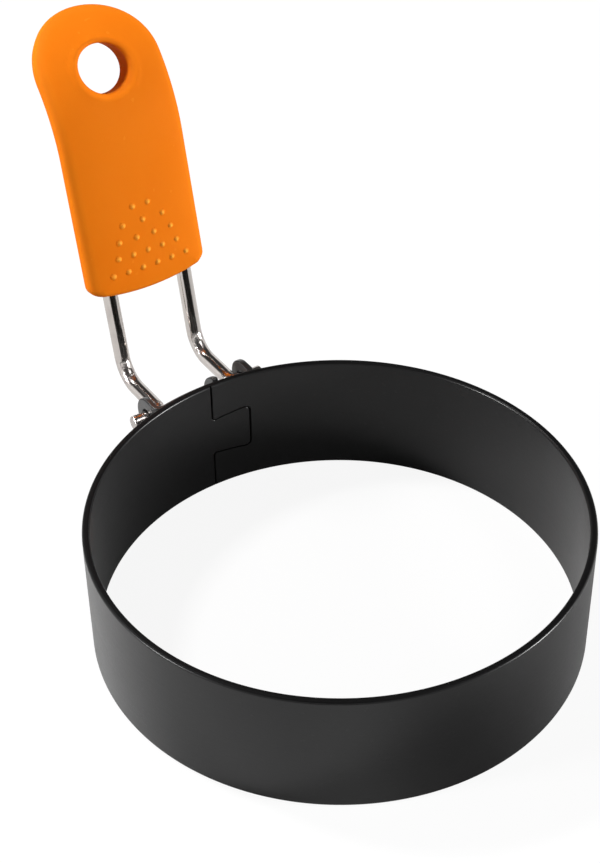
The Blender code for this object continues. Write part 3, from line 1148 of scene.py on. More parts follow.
@dataclass
class Band:
    """The ring: a coated steel strip rolled round and closed by its dovetail.

    Attributes:
        diameter: The ring's outer diameter.
        height: The strip's width.
        wall: The strip's thickness.
        edge_radius: The rounding of the rims.
        edge_facets: How many points make each rounding.
        steps: How many facets go round.
        joint_turn: A facet turned further than this from the round surface is the joint's.
        lip_wear: How worn the joint's lips are.
        lip_reach: How far that wear reaches.
        seam: The dovetail joint.
        finish: The coating.
    """

    diameter: float = 0.0750
    height: float = 0.0206
    wall: float = 0.00115
    edge_radius: float = 0.00042
    edge_facets: int = 7
    steps: int = 288
    joint_turn: float = radians(24)
    lip_wear: float = 0.4
    lip_reach: float = 0.0005
    seam: Seam = field(default_factory=Seam)
    finish: Finish = CoatedSteel(Slot.BAND)

    def turned(self) -> bpy.types.Object:
        """Return the plain ring, swept round a circle by Geometry Nodes.

        Returns:
            The ring before the joint is cut.
        """
        shaper = Shaper("rolled_band")
        height = shaper.size("Height", self.height)
        wall = shaper.size("Wall", self.wall)
        radius = shaper.size("Middle radius", (self.diameter - self.wall) / 2)
        edge = shaper.size("Edge radius", self.edge_radius)
        facets = shaper.size("Facets of a rounding", self.edge_facets, "Int")
        steps = shaper.size("Steps round", self.steps, "Int")
        centre = shaper.size("Middle", (*RING_CENTRE.xy, self.height / 2), "Vector")
        finish = shaper.size("Coating", None, "Material")
        circle = shaper.add("CurvePrimitiveCircle", {"Resolution": steps, "Radius": radius})
        upright = shaper.add("SetCurveNormal", {"Curve": circle}, {"mode": "Z_UP"})
        box = shaper.add("CurvePrimitiveQuadrilateral", {"Width": wall, "Height": height})
        corners = {"Curve": box, "Count": facets, "Radius": edge}
        section = shaper.add("FilletCurve", corners, {"mode": "POLY"})
        swept = shaper.add("CurveToMesh", {"Curve": upright, "Profile Curve": section})
        raised = shaper.add("Transform", {"Geometry": swept, "Translation": centre})
        shaper.close(raised, finish)
        ring = linked("rolled_band", bpy.data.meshes.new("rolled_band"))
        shaper.run(ring)
        return settled(ring, "rolled_band")

    def smooth_direction(self, places: np.ndarray) -> np.ndarray:
        """Return the outward directions of the plain ring's surface.

        Args:
            places: Points on the surface.

        Returns:
            One unit direction for each point.
        """
        flat = places - np.array(RING_CENTRE)
        radius = np.hypot(flat[:, 0], flat[:, 1])
        outer = self.diameter / 2
        inset = self.edge_radius
        near_radius = np.clip(radius, outer - self.wall + inset, outer - inset)
        near_height = np.clip(flat[:, 2], inset, self.height - inset)
        out = radius - near_radius
        up = flat[:, 2] - near_height
        length = np.maximum(np.hypot(out, up), 1e-9)
        round_about = flat[:, :2] / radius[:, None]
        return np.column_stack([round_about * (out / length)[:, None], up / length])

    def smooth_out(self, mesh: bpy.types.Mesh) -> None:
        """Shade the ring by its true round surface, and the joint by its own facets.

        Args:
            mesh: The ring's mesh, which is changed.
        """
        corner_vertex = np.zeros(len(mesh.loops), dtype=np.int64)
        mesh.loops.foreach_get("vertex_index", corner_vertex)
        places = np.zeros(len(mesh.vertices) * 3)
        mesh.vertices.foreach_get("co", places)
        smooth = self.smooth_direction(places.reshape(-1, 3))[corner_vertex]
        faceted = np.zeros_like(smooth)
        for face in mesh.polygons:
            faceted[face.loop_start:face.loop_start + face.loop_total] = face.normal
        close = (smooth * faceted).sum(axis=1) > cos(self.joint_turn)
        mesh.normals_split_custom_set(np.where(close[:, None], smooth, faceted).tolist())

    def edge_wear(self, mesh: bpy.types.Mesh) -> None:
        """Store how near each vertex is to a rim or to the joint's lips.

        Args:
            mesh: The ring's mesh, which is changed.
        """
        numbers = []
        line = [(spot.x, spot.y) for spot in self.seam.path(self.height)]
        end = self.seam.offset + self.seam.reach + self.lip_reach
        for vertex in mesh.vertices:
            place = vertex.co - RING_CENTRE
            rim = min(place.z, self.height - place.z)
            wear = max(0.0, 1 - rim / self.edge_radius)
            if place.y > 0 and -self.lip_reach < place.x < end:
                nearest = min((place.x - x) ** 2 + (place.z - z) ** 2 for x, z in line)
                wear = max(wear, self.lip_wear * (1 - sqrt(nearest) / self.lip_reach))
            numbers.append(wear)
        give(mesh, "edge", numbers)

    def build(self) -> bpy.types.Object:
        """Build and dress the band.

        Returns:
            The finished piece.
        """
        outer = self.diameter / 2
        cutter = self.seam.cutter(outer - self.wall, outer, self.height)
        band = cut(self.turned(), cutter, "band_shell")
        self.smooth_out(band.data)
        self.edge_wear(band.data)
        return dressed(band, Body.RING, "ring_band", self.finish)


# ---------------------------------------------------------------- the bracket


@dataclass
class Bracket:
    """The hinge bracket: a strip bent into two ears, and a small third tab.

    Attributes:
        seat_radius: The radius of the strip's middle behind the band.
        thickness: The strip's thickness.
        ear_spacing: The distance between the ears' middles.
        ear_radius: The ears' round noses, and half of the strip's width.
        bend_radius: The bend's radius at the strip's middle.
        hinge_out: How far the hinge line stands from the ring's axis.
        hole_radius: The pin holes.
        tab_offset: How far the tab stands aside of the middle.
        tab_radius: The tab's round nose.
        tab_middle: How far the nose's centre stands from the ring's axis.
        heel_radius: The rounding of the tab's corners at the strip.
        edge_radius: The rounding of the stamped edges.
        tab_spread: How far the tab's nose runs round to each side.
        outline_spacing: The distance between points of the outlines.
        face_spacing: The distance between points on the faces.
        round_steps: How many facets make a rounding.
        wall_steps: How many rows of facets cross the edges.
        finish: The coating.
    """

    seat_radius: float = 0.0383
    thickness: float = 0.0010
    ear_spacing: float = 0.0178
    ear_radius: float = 0.0033
    bend_radius: float = 0.0012
    hinge_out: float = 0.0402
    hole_radius: float = 0.00150
    tab_offset: float = 0.0025
    tab_radius: float = 0.0039
    tab_middle: float = 0.0379
    heel_radius: float = 0.00042
    edge_radius: float = 0.00022
    tab_spread: float = radians(72)
    outline_spacing: float = 0.00022
    face_spacing: float = 0.00030
    round_steps: int = 4
    wall_steps: int = 2
    finish: Finish = CoatedSteel(
        Slot.BRACKET, roughness=0.36, shine=1.0, rim_shine=0.30, rub=0.60
    )

    def __post_init__(self) -> None:
        """Work out where the back, the bends and the ears begin along the strip."""
        self.bend_across = self.ear_spacing / 2 - self.bend_radius
        reach = self.seat_radius + self.bend_radius
        self.bend_out = sqrt(reach ** 2 - self.bend_across ** 2)
        self.spread = acos(self.bend_across / reach)
        self.bend_start = self.seat_radius * (pi / 2 - self.spread)
        self.ear_start = self.bend_start + self.bend_radius * (pi - self.spread)
        self.pin_along = self.ear_start + self.hinge_out - self.bend_out

    def lay_strip(self, flat: np.ndarray) -> np.ndarray:
        """Take points of the flat strip to their places on the bent strip.

        Args:
            flat: Points as (along the strip, up from the hinge, out from its middle).

        Returns:
            Their places in the part.
        """
        along = np.abs(flat[:, 0])
        side = np.where(flat[:, 0] < 0, -1.0, 1.0)
        back = along / self.seat_radius
        turn = self.spread - pi + (along - self.bend_start) / self.bend_radius
        on_back = along <= self.bend_start
        on_ear = along >= self.ear_start
        across = self.bend_across + self.bend_radius * np.cos(turn)
        out = self.bend_out + self.bend_radius * np.sin(turn)
        facing_x = -np.cos(turn)
        facing_y = -np.sin(turn)
        across = np.where(on_back, self.seat_radius * np.sin(back), across)
        out = np.where(on_back, self.seat_radius * np.cos(back), out)
        facing_x = np.where(on_back, np.sin(back), facing_x)
        facing_y = np.where(on_back, np.cos(back), facing_y)
        across = np.where(on_ear, self.ear_spacing / 2, across)
        out = np.where(on_ear, self.bend_out + along - self.ear_start, out)
        facing_x = np.where(on_ear, -1.0, facing_x)
        facing_y = np.where(on_ear, 0.0, facing_y)
        places = np.column_stack([
            side * (across + facing_x * flat[:, 2]),
            out + facing_y * flat[:, 2],
            flat[:, 1] + HINGE.z,
        ])
        return places + np.array(RING_CENTRE)

    def lay_tab(self, flat: np.ndarray) -> np.ndarray:
        """Take points of the flat tab to their places, upright and out from the band."""
        places = np.column_stack([self.tab_offset + flat[:, 2], flat[:, 0], flat[:, 1] + HINGE.z])
        return places + np.array(RING_CENTRE)

    def plate(
        self,
        name: str,
        outline: np.ndarray,
        holes: list[np.ndarray],
        lay: Callable[[np.ndarray], np.ndarray],
    ) -> bpy.types.Mesh:
        """Return a plate of the bracket's steel.

        Args:
            name: The mesh's name.
            outline: The flat plate's outline.
            holes: The outlines of its holes.
            lay: Takes its flat points to their places.

        Returns:
            The plate, as a closed mesh.
        """
        loops = [spaced(loop, self.outline_spacing, True) for loop in (outline, *holes)]
        steps = (self.round_steps, self.wall_steps)
        half = self.thickness / 2
        slab = Slab(loops[0], loops[1:], half, self.edge_radius, self.face_spacing, *steps)
        return slab.build(name, lay)

    def strip(self) -> bpy.types.Mesh:
        """Return the bent strip with its ears and pin holes.

        Returns:
            A closed mesh.
        """
        right = arc((self.pin_along, 0), self.ear_radius, -pi / 2, pi / 2)
        left = arc((-self.pin_along, 0), self.ear_radius, pi / 2, 3 * pi / 2)
        holes = [
            arc((side * self.pin_along, 0), self.hole_radius, 0, 2 * pi)[:-1] for side in (1, -1)
        ]
        return self.plate("bracket_strip", np.vstack([right, left]), holes, self.lay_strip)

    def tab(self) -> bpy.types.Mesh:
        """Return the small third tab.

        Returns:
            A closed mesh.
        """
        seat = self.seat_radius + self.thickness / 4
        behind = sqrt(seat ** 2 - self.tab_offset ** 2)
        nose = arc((self.tab_middle, 0), self.tab_radius, -self.tab_spread, self.tab_spread)
        corners = [Vector((behind, side * self.tab_radius)) for side in (1, -1)]
        heel = [Vector(nose[-1]), *corners, Vector(nose[0])]
        back = rows_of(rounded(heel, [self.heel_radius, self.heel_radius])[1:-1])
        return self.plate("bracket_tab", np.vstack([nose, back]), [], self.lay_tab)

    def build(self) -> bpy.types.Object:
        """Build and dress the bracket.

        Returns:
            The finished piece.
        """
        joined = bmesh.new()
        parts = [self.strip(), self.tab()]
        for mesh in parts:
            joined.from_mesh(mesh)
        whole = bpy.data.meshes.new("bracket_plate")
        joined.to_mesh(whole)
        joined.free()
        for mesh in parts:
            bpy.data.meshes.remove(mesh)
        whole.shade_smooth()
        return dressed(linked("bracket_plate", whole), Body.RING, "hinge_bracket", self.finish)


# ---------------------------------------------------------------- the handle


@dataclass
class HandleLine:
    """The line that the handle follows: up from the hinge, then curled back.

    Attributes:
        lower: How far the legs run out from the hinge before they turn up.
        lean: How far the handle leans from upright.
        curl_start: Where the curl starts, along the handle.
        curl_radius: The curl's radius.
        hole_up: Where the hanging hole and the head's middle are, along the handle.
        leg_out: Half of the distance between the legs.
    """

    lower: float = 0.0116
    lean: float = radians(11.9)
    curl_start: float = 0.0380
    curl_radius: float = 0.0250
    hole_up: float = 0.0507
    leg_out: float = 0.0068

    def lean_at(self, along: np.ndarray) -> np.ndarray:
        """Return how far the handle leans at places along it."""
        return self.lean + np.maximum(0, along - self.curl_start) / self.curl_radius

    def lay(self, flat: np.ndarray) -> np.ndarray:
        """Take flat points to their places on the handle.

        Args:
            flat: Points as (across, along the handle, towards its front).

        Returns:
            Their places in the part.
        """
        along = flat[:, 1]
        lean = self.lean_at(along)
        straight = np.minimum(along, self.curl_start)
        face_y = -np.cos(lean)
        face_z = np.sin(lean)
        out = straight * sin(self.lean) + (face_y + cos(self.lean)) * self.curl_radius
        up = straight * cos(self.lean) + (face_z - sin(self.lean)) * self.curl_radius
        places = np.column_stack([
            flat[:, 0],
            self.lower + out + face_y * flat[:, 2],
            up + face_z * flat[:, 2],
        ])
        return places + np.array(HINGE)

    def spot(self, across: float, along: float, front: float = 0.0) -> Vector:
        """Return the place of one flat point."""
        return Vector(self.lay(np.array([[across, along, front]]))[0])


@dataclass
class WireBail:
    """The handle's wire: one bar bent from pin to pin over the top of the handle.

    Attributes:
        line: The line of the handle.
        diameter: The wire's diameter.
        pin_span: The length over both pins.
        foot_radius: The bend from the pins to the lower legs.
        knee_radius: The bend from the lower legs to the upper ones.
        tip_radius: The rounding of the cut ends.
        grip_bottom: Where the grip starts, along the handle.
        spacing: The distance between rings of the wire's mesh.
        sides: How many facets go round the wire.
        tip_steps: How many rings round each tip.
        loop_steps: How many steps half of the loop in the grip has.
        sharp_bend: The bend that marks the wire fully, as 1 over its radius.
        mark_spread: Over how many points a bend's marks spread.
        ear_wear: How worn the pins are in the ears.
        sharp_angle: Facets that meet at more than this angle stay sharp.
        finish: The plating.
    """

    line: HandleLine
    diameter: float = 0.0025
    pin_span: float = 0.0241
    foot_radius: float = 0.0019
    knee_radius: float = 0.0045
    tip_radius: float = 0.00028
    grip_bottom: float = 0.0158
    spacing: float = 0.00032
    sides: int = 28
    tip_steps: int = 4
    loop_steps: int = 24
    sharp_bend: float = 260
    mark_spread: int = 13
    ear_wear: float = 0.6
    sharp_angle: float = radians(50)
    finish: Finish = ChromedWire(Slot.WIRE)

    def upper(self, start: float) -> list[Vector]:
        """Return one leg inside the grip.

        Args:
            start: Where it starts, along the handle.

        Returns:
            Its line up to the middle of the loop.
        """
        rise = np.linspace(start, self.line.hole_up, ARC_STEPS)
        leg = np.column_stack([np.full(ARC_STEPS, self.line.leg_out), rise])
        loop = arc((0, self.line.hole_up), self.line.leg_out, 0, pi / 2, self.loop_steps)
        flat = np.vstack([leg[:-1], loop])
        places = self.line.lay(np.column_stack([flat, np.zeros(len(flat))]))
        return [Vector(place) for place in places]

    def path(self) -> np.ndarray:
        """Return the wire's middle line from pin to pin, closely spaced.

        Returns:
            Places in the part, one spacing apart.
        """
        out = self.line.leg_out
        corners = [
            HINGE + Vector((self.pin_span / 2, 0, 0)),
            HINGE + Vector((out, 0, 0)),
            HINGE + Vector((out, self.line.lower, 0)),
            self.line.spot(out, self.grip_bottom),
        ]
        lower = rounded(corners, [self.foot_radius, self.knee_radius])
        whole = mirrored(lower[:-1] + self.upper(self.grip_bottom))
        return spaced(rows_of(whole), self.spacing, False)

    def with_ends(self, path: np.ndarray) -> tuple[np.ndarray, np.ndarray]:
        """Round the wire's cut ends.

        Args:
            path: The wire's middle line.

        Returns:
            The line with close points at its ends, and the wire's scale at each point.
        """
        angles = [pi / 2 * step / self.tip_steps for step in range(self.tip_steps + 1)]
        radius = self.diameter / 2
        inward = (path[1] - path[0]) / np.linalg.norm(path[1] - path[0])
        tip = np.array([path[0] + inward * (self.tip_radius * (1 - cos(turn))) for turn in angles])
        sizes = [(radius - self.tip_radius * (1 - sin(turn))) / radius for turn in angles]
        other = tip[::-1] * np.array([-1, 1, 1])
        inner = path[2:-2]
        scale = np.concatenate([sizes, np.ones(len(inner)), sizes[::-1]])
        return np.vstack([tip, inner, other]), scale

    def bend_marks(self, path: np.ndarray) -> np.ndarray:
        """Return how marked the wire is by its bends and by the ears.

        Args:
            path: The wire's middle line.

        Returns:
            A number from 0 to 1 for each point.
        """
        onward = np.diff(path, axis=0)
        length = np.linalg.norm(onward, axis=1)
        onward /= length[:, None]
        turn = np.arccos(np.clip((onward[1:] * onward[:-1]).sum(axis=1), -1, 1)) / length[1:]
        sharp = np.clip(np.concatenate([[0], turn, [0]]) / self.sharp_bend, 0, 1)
        kernel = np.ones(self.mark_spread) / self.mark_spread
        past_leg = np.abs(path[:, 0]) - self.line.leg_out - self.foot_radius
        worn = np.clip(past_leg / MILLIMETRE, 0, 1) * self.ear_wear
        return np.maximum(np.convolve(sharp, kernel, mode="same"), worn)

    def build(self) -> bpy.types.Object:
        """Build the wire by Geometry Nodes along its path, and dress it.

        Returns:
            The finished piece.
        """
        path, scale = self.with_ends(self.path())
        edges = [(index, index + 1) for index in range(len(path) - 1)]
        mesh = mesh_of("wire_path", path, (), edges)
        give(mesh, "tip_scale", scale)
        give(mesh, "bend", self.bend_marks(path))
        shaper = Shaper("drawn_wire")
        radius = shaper.size("Wire radius", self.diameter / 2)
        sides = shaper.size("Sides", self.sides, "Int")
        finish = shaper.size("Plating", None, "Material")
        curve = shaper.add("MeshToCurve", {"Mesh": shaper.geometry()})
        ends = shaper.add("InputNamedAttribute", {"Name": "tip_scale"}, {"data_type": "FLOAT"})
        round_bar = shaper.add("CurvePrimitiveCircle", {"Resolution": sides, "Radius": radius})
        inputs = {"Curve": curve, "Profile Curve": round_bar, "Scale": ends, "Fill Caps": True}
        shaper.close(shaper.add("CurveToMesh", inputs), finish)
        bar = linked("wire_path", mesh)
        shaper.run(bar)
        wire = settled(bar, "wire_handle")
        wire.data.shade_smooth()
        wire.data.set_sharp_from_angle(angle=self.sharp_angle)
        return dressed(wire, Body.HANDLE, "wire_bail", self.finish)


@dataclass
class Grip:
    """The silicone grip: a thick tongue with a hanging hole and raised dots.

    Attributes:
        line: The line of the handle.
        width: The grip's width.
        bottom: Where its straight sides end, along the handle.
        sag: How far the lower edge bulges down.
        corner_radius: Its lower corners.
        hole_diameter: The hanging hole.
        hole_lean: How far the hanging hole rises towards the front.
        lip_radius: The rounding of the hanging hole's lips.
        low_thickness: Its thickness at the lower end.
        top_thickness: Its thickness at the head.
        edge_radius: The rounding of its edges.
        low_edge_radius: The smaller rounding of its lower edge.
        edge_growth: How far up the small rounding grows into the large one.
        corner_growth: Over what length it does so near the lower corners.
        corner_margin: How far before the corners that starts.
        crown: How much thicker its middle is, as a share.
        rise: How far its faces still rise behind their rounded edges.
        rise_reach: How far in that soft rise runs.
        bore_radius: The wire's hole.
        outline_spacing: The distance between points of the outline.
        face_spacing: The distance between points on the faces.
        end_steps: How many steps the lower end has before its points are spaced anew.
        head_steps: How many the round head has.
        hole_steps: How many facets go round the hanging hole.
        round_steps: How many facets make a rounding.
        wall_steps: How many rows of facets cross the edge.
        bore_detail: How finely the wire's hole is rounded.
        skin_reach: How near the plain slab a facet takes its shading.
        finish: The silicone.
    """

    line: HandleLine
    width: float = 0.0209
    bottom: float = 0.0159
    sag: float = 0.0014
    corner_radius: float = 0.0017
    hole_diameter: float = 0.0082
    hole_lean: float = radians(25)
    lip_radius: float = 0.0013
    low_thickness: float = 0.0058
    top_thickness: float = 0.0046
    edge_radius: float = 0.0019
    low_edge_radius: float = 0.0011
    edge_growth: float = 0.0050
    corner_growth: float = 0.0014
    corner_margin: float = 0.0002
    crown: float = 0.030
    rise: float = 0.00062
    rise_reach: float = 0.0028
    bore_radius: float = 0.00127
    outline_spacing: float = 0.00038
    face_spacing: float = 0.00045
    end_steps: int = 40
    head_steps: int = 120
    hole_steps: int = 96
    round_steps: int = 10
    wall_steps: int = 5
    bore_detail: int = 6
    skin_reach: float = 0.000004
    finish: Finish = SoftSilicone(Slot.GRIP)

    def outline(self) -> np.ndarray:
        """Return the flat grip's outline: round head, straight sides, bulging lower end.

        Returns:
            Points as (across, along the handle), anticlockwise.
        """
        half = self.width / 2
        sag_radius = (half ** 2 + self.sag ** 2) / (2 * self.sag)
        middle = self.bottom - self.sag + sag_radius
        reach = half - 2 * self.corner_radius
        spread = acos(sqrt(sag_radius ** 2 - reach ** 2) / sag_radius)
        first, last = -pi / 2 - spread, -pi / 2 + spread
        low = arc((0, middle), sag_radius, first, last, self.end_steps)
        corners = [Vector(low[-1]), Vector((half, self.bottom)), Vector((half, self.line.hole_up))]
        right = rows_of(rounded(corners, [self.corner_radius])[1:-1])
        head = arc((0, self.line.hole_up), half, 0, pi, self.head_steps)
        left = right[::-1] * np.array([-1, 1])
        return spaced(np.vstack([low, right, head, left]), self.outline_spacing, True)

    def half_at(self, across: np.ndarray, along: np.ndarray) -> np.ndarray:
        """Return the grip's thickness.

        Args:
            across: How far aside the points are.
            along: How far along the handle they are.

        Returns:
            The thickness at each point, as a share of the lower end's.
        """
        low = self.bottom - self.sag
        top = self.line.hole_up + self.width / 2
        share = (along - low) / (top - low)
        taper = 1 + (self.top_thickness / self.low_thickness - 1) * share
        return taper * (1 + self.crown * (1 - (2 * across / self.width) ** 2) - self.crown)

    def edge_radii(self, outline: np.ndarray) -> np.ndarray:
        """Return the rounding of the edge, small only between the lower corners.

        Args:
            outline: The outline's points.

        Returns:
            The radius at each point.
        """
        up = (outline[:, 1] - self.bottom) / self.edge_growth
        past = np.abs(outline[:, 0]) - self.width / 2 + self.corner_radius + self.corner_margin
        share = np.clip(np.maximum(up, past / self.corner_growth), 0, 1)
        growth = self.edge_radius - self.low_edge_radius
        return self.low_edge_radius + growth * share ** 2 * (3 - 2 * share)

    def slanted(self, flat: np.ndarray) -> np.ndarray:
        """Slant the hanging hole, so that it runs straight through the curled head.

        Args:
            flat: The slab's flat points.

        Returns:
            How far along the handle each of them goes.
        """
        lip = self.hole_diameter / 2 + self.lip_radius
        reach = np.hypot(flat[:, 0], flat[:, 1] - self.line.hole_up)
        share = np.clip((self.width / 2 - reach) / (self.width / 2 - lip), 0, 1)
        slant = np.tan(self.line.lean_at(flat[:, 1]) - self.hole_lean)
        return flat[:, 1] - flat[:, 2] * slant * share

    def lay(self, flat: np.ndarray) -> np.ndarray:
        """Take the flat slab's points to their places, thinned towards the head."""
        front = flat[:, 2] * self.half_at(flat[:, 0], flat[:, 1])
        return self.line.lay(np.column_stack([flat[:, 0], self.slanted(flat), front]))

    def bore(self, wire: WireBail) -> bpy.types.Object:
        """Return the shape that bores the grip.

        Args:
            wire: The wire that the bore is for.

        Returns:
            A closed object.
        """
        below = self.line.spot(self.line.leg_out, self.bottom - self.sag - MILLIMETRE)
        whole = mirrored([below, *wire.upper(self.bottom)])
        curve = bpy.data.curves.new("bore", "CURVE")
        curve.dimensions = "3D"
        curve.bevel_depth = self.bore_radius
        curve.bevel_resolution = self.bore_detail
        curve.use_fill_caps = True
        spline = curve.splines.new("POLY")
        spline.points.add(len(whole) - 1)
        for point, spot in zip(spline.points, whole):
            point.co = (*spot, 1)
        tool = settled(linked("bore", curve), "bore")
        turned_out(tool.data, MILLIMETRE / 1000)
        return tool

    def build(self, wire: WireBail) -> bpy.types.Object:
        """Build the grip, bored for the wire.

        Args:
            wire: The wire that the grip sits on.

        Returns:
            The grip without its dots.
        """
        grip = cut(linked("grip_slab", self.solid()), self.bore(wire), "grip_body")
        grip.data.shade_smooth()
        return grip

    def solid(self) -> bpy.types.Mesh:
        """Return the grip's slab, not yet bored.

        Returns:
            A closed mesh, curled and with its hanging hole.
        """
        middle = (0, self.line.hole_up)
        hole = arc(middle, self.hole_diameter / 2, 0, 2 * pi, self.hole_steps)[:-1]
        outline = self.outline()
        slab = Slab(
            outline,
            [hole],
            self.low_thickness / 2,
            self.edge_radii(outline),
            self.face_spacing,
            self.round_steps,
            self.wall_steps,
            self.lip_radius,
            self.rise,
            self.rise_reach,
        )
        return slab.build("grip_slab", self.lay)

    def smooth_out(self, mesh: bpy.types.Mesh) -> None:
        """Shade the bored grip by the plain slab, so that the bore leaves no marks round it.

        Args:
            mesh: The grip's mesh, which is changed.
        """
        solid = self.solid()
        sides = [tuple(face.vertices) for face in solid.polygons]
        tree = BVHTree.FromPolygons([spot.co for spot in solid.vertices], sides)
        smooth = []
        for vertex in mesh.vertices:
            place, _, side, _ = tree.find_nearest(vertex.co)
            corners = [solid.vertices[index] for index in sides[side]]
            shares = poly_3d_calc([corner.co for corner in corners], place)
            turned = sum((spot.normal * share for spot, share in zip(corners, shares)), Vector())
            smooth.append(turned.normalized())
        directions = [Vector(corner.vector) for corner in mesh.corner_normals]
        for face in mesh.polygons:
            if tree.find_nearest(face.center)[3] < self.skin_reach:
                for corner in face.loop_indices:
                    directions[corner] = smooth[mesh.loops[corner].vertex_index]
        mesh.normals_split_custom_set(directions)
        bpy.data.meshes.remove(solid)


@dataclass
class Dots:
    """The raised dots on the front of the grip, moulded with it.

    Attributes:
        grip: The grip that they stand on.
        bottom: The lowest row's place along the handle.
        row_pitch: The distance between rows.
        counts: How many dots each row has, from the lowest up.
        pitches: The distance between dots in each row.
        diameter: A dot's diameter at half of its height.
        height: How high a dot stands.
        rings: How many rows of facets a dot has from its top down.
        sides: How many facets go round it.
        steepness: How steep its sides are. At 1 it is a plain dome.
        sunk: How deep it goes into the grip, as a share of its height.
        ray_reach: How far down the grip's face is looked for, from above a row.
    """

    grip: Grip
    bottom: float = 0.0187
    row_pitch: float = 0.002575
    counts: tuple[int, ...] = (6, 5, 4, 3, 2)
    pitches: tuple[float, ...] = (0.00263, 0.00262, 0.00307, 0.00355, 0.00267)
    diameter: float = 0.00062
    height: float = 0.00027
    rings: int = 9
    sides: int = 18
    steepness: float = 2.2
    sunk: float = 0.03
    ray_reach: float = 0.004

    def dome(self) -> bpy.types.Object:
        """Return one dot of unit size, which runs out softly into the grip.

        Returns:
            A closed dome, with its painted highlight stored as "pale": full at the top and fading
            down its sides.
        """
        sides = self.sides
        points = [(0.0, 0.0, 1.0)]
        pale = [1.0]
        faces: Faces = [(0, 1 + k, 1 + (k + 1) % sides) for k in range(sides)]
        for ring in range(1, self.rings + 1):
            share = ring / self.rings
            height = (1 - share ** 2) ** self.steepness * (1 + self.sunk) - self.sunk
            for side in range(sides):
                angle = 2 * pi * side / sides
                points.append((share * cos(angle), share * sin(angle), height))
                # painted highlight: the higher a vertex stands, the paler the dot is there
                pale.append(max(0.0, height))
            if ring > 1:
                first = 1 + (ring - 2) * sides
                second = first + sides
                faces += [
                    (first + k, second + k, second + (k + 1) % sides, first + (k + 1) % sides)
                    for k in range(sides)
                ]
        faces.append(tuple(reversed(range(len(points) - sides, len(points)))))
        mesh = mesh_of("dot_dome", points, faces)
        give(mesh, "pale", pale)
        return linked("dot_dome", mesh)

    def start_of(self, row: int) -> Triple:
        """Return a place just in front of a row's left dot.

        Args:
            row: The row, counted from the lowest.

        Returns:
            The place in the part.
        """
        across = -(self.counts[row] - 1) / 2 * self.pitches[row]
        along = self.bottom + row * self.row_pitch
        front = self.grip.low_thickness / 2 + MILLIMETRE
        return tuple(float(side) for side in self.grip.lay(np.array([[across, along, front]]))[0])

    def add_to(self, grip: bpy.types.Object) -> bpy.types.Object:
        """Set the dots on the grip by Geometry Nodes, row by row.

        Args:
            grip: The grip's mesh object. It is replaced.

        Returns:
            The grip with its dots.
        """
        dome = self.dome()
        lean = self.grip.line.lean
        shaper = Shaper("moulded_dots")
        shape = shaper.size("Dot shape", dome, "Object")
        scale = shaper.size("Dot size", (self.diameter, self.diameter, self.height), "Vector")
        turn = shaper.size("Front's turn", (pi / 2 - lean, 0.0, 0.0), "Vector")
        silicone = shaper.size("Silicone", None, "Material")
        into = shaper.size("Way into the grip", (0.0, cos(lean), -sin(lean)), "Vector")
        reach = shaper.size("Farthest way", self.ray_reach)
        dot = shaper.add("ObjectInfo", {"Object": shape}, out="Geometry")
        whole = {"Geometry": shaper.geometry()}
        joined = shaper.graph.node("GeometryNodeJoinGeometry", {}, whole)
        rays = {"Target Geometry": shaper.geometry(), "Ray Direction": into, "Ray Length": reach}
        seat = shaper.add("Raycast", rays, out="Hit Position")
        for row, (count, pitch) in enumerate(zip(self.counts, self.pitches)):
            label = f"Row {row + 1} "
            line = {
                "Count": shaper.size(label + "dots", count, "Int"),
                "Start Location": shaper.size(label + "start", self.start_of(row), "Vector"),
                "Offset": shaper.size(label + "pitch", (pitch, 0.0, 0.0), "Vector"),
            }
            points = shaper.add("MeshLine", line, {"mode": "OFFSET"})
            seated = shaper.add("SetPosition", {"Geometry": points, "Position": seat})
            placed = {"Points": seated, "Instance": dot, "Rotation": turn, "Scale": scale}
            shaper.tree.links.new(shaper.add("InstanceOnPoints", placed), joined.inputs[0])
        shaper.close(joined.outputs[0], silicone)
        shaper.run(grip)
        result = settled(grip, "grip_body")
        bpy.data.objects.remove(dome)
        return result


@dataclass
class Handle:
    """The folding handle: the wire and its grip."""

    line: HandleLine = field(default_factory=HandleLine)

    def build(self) -> list[bpy.types.Object]:
        """Build and dress the wire, the grip and its dots.

        Returns:
            The wire and the grip, finished.
        """
        wire = WireBail(self.line)
        grip = Grip(self.line)
        bar = wire.build()
        body = Dots(grip).add_to(grip.build(wire))
        grip.smooth_out(body.data)
        return [bar, dressed(body, Body.HANDLE, "silicone_grip", grip.finish)]


# ---------------------------------------------------------------- the studio


@dataclass(frozen=True)
class SoftLamp:
    """A square soft lamp that stands round the object and points at it.

    Attributes:
        name: The lamp's name.
        azimuth: Its direction, from -Y towards +X, in degrees.
        elevation: Its height above the floor, in degrees.
        distance: How far it stands.
        width: Its width and height.
        share: How strongly it lights a white surface that faces it.
    """

    name: str
    azimuth: float
    elevation: float
    distance: float
    width: float
    share: float

    def build(self, target: Vector) -> bpy.types.Object:
        """Hang the lamp.

        Args:
            target: The point that it points at.

        Returns:
            The lamp.
        """
        around = radians(self.azimuth)
        above = radians(self.elevation)
        away = Vector((sin(around) * cos(above), -cos(around) * cos(above), sin(above)))
        light = bpy.data.lights.new(self.name, "AREA")
        light.size = self.width
        light.energy = pi ** 2 * self.distance ** 2 * self.share
        lamp = linked(self.name, light)
        turn = away.to_track_quat("Z", "Y").to_matrix().to_4x4()
        lamp.matrix_world = Matrix.Translation(target + away * self.distance) @ turn
        return lamp


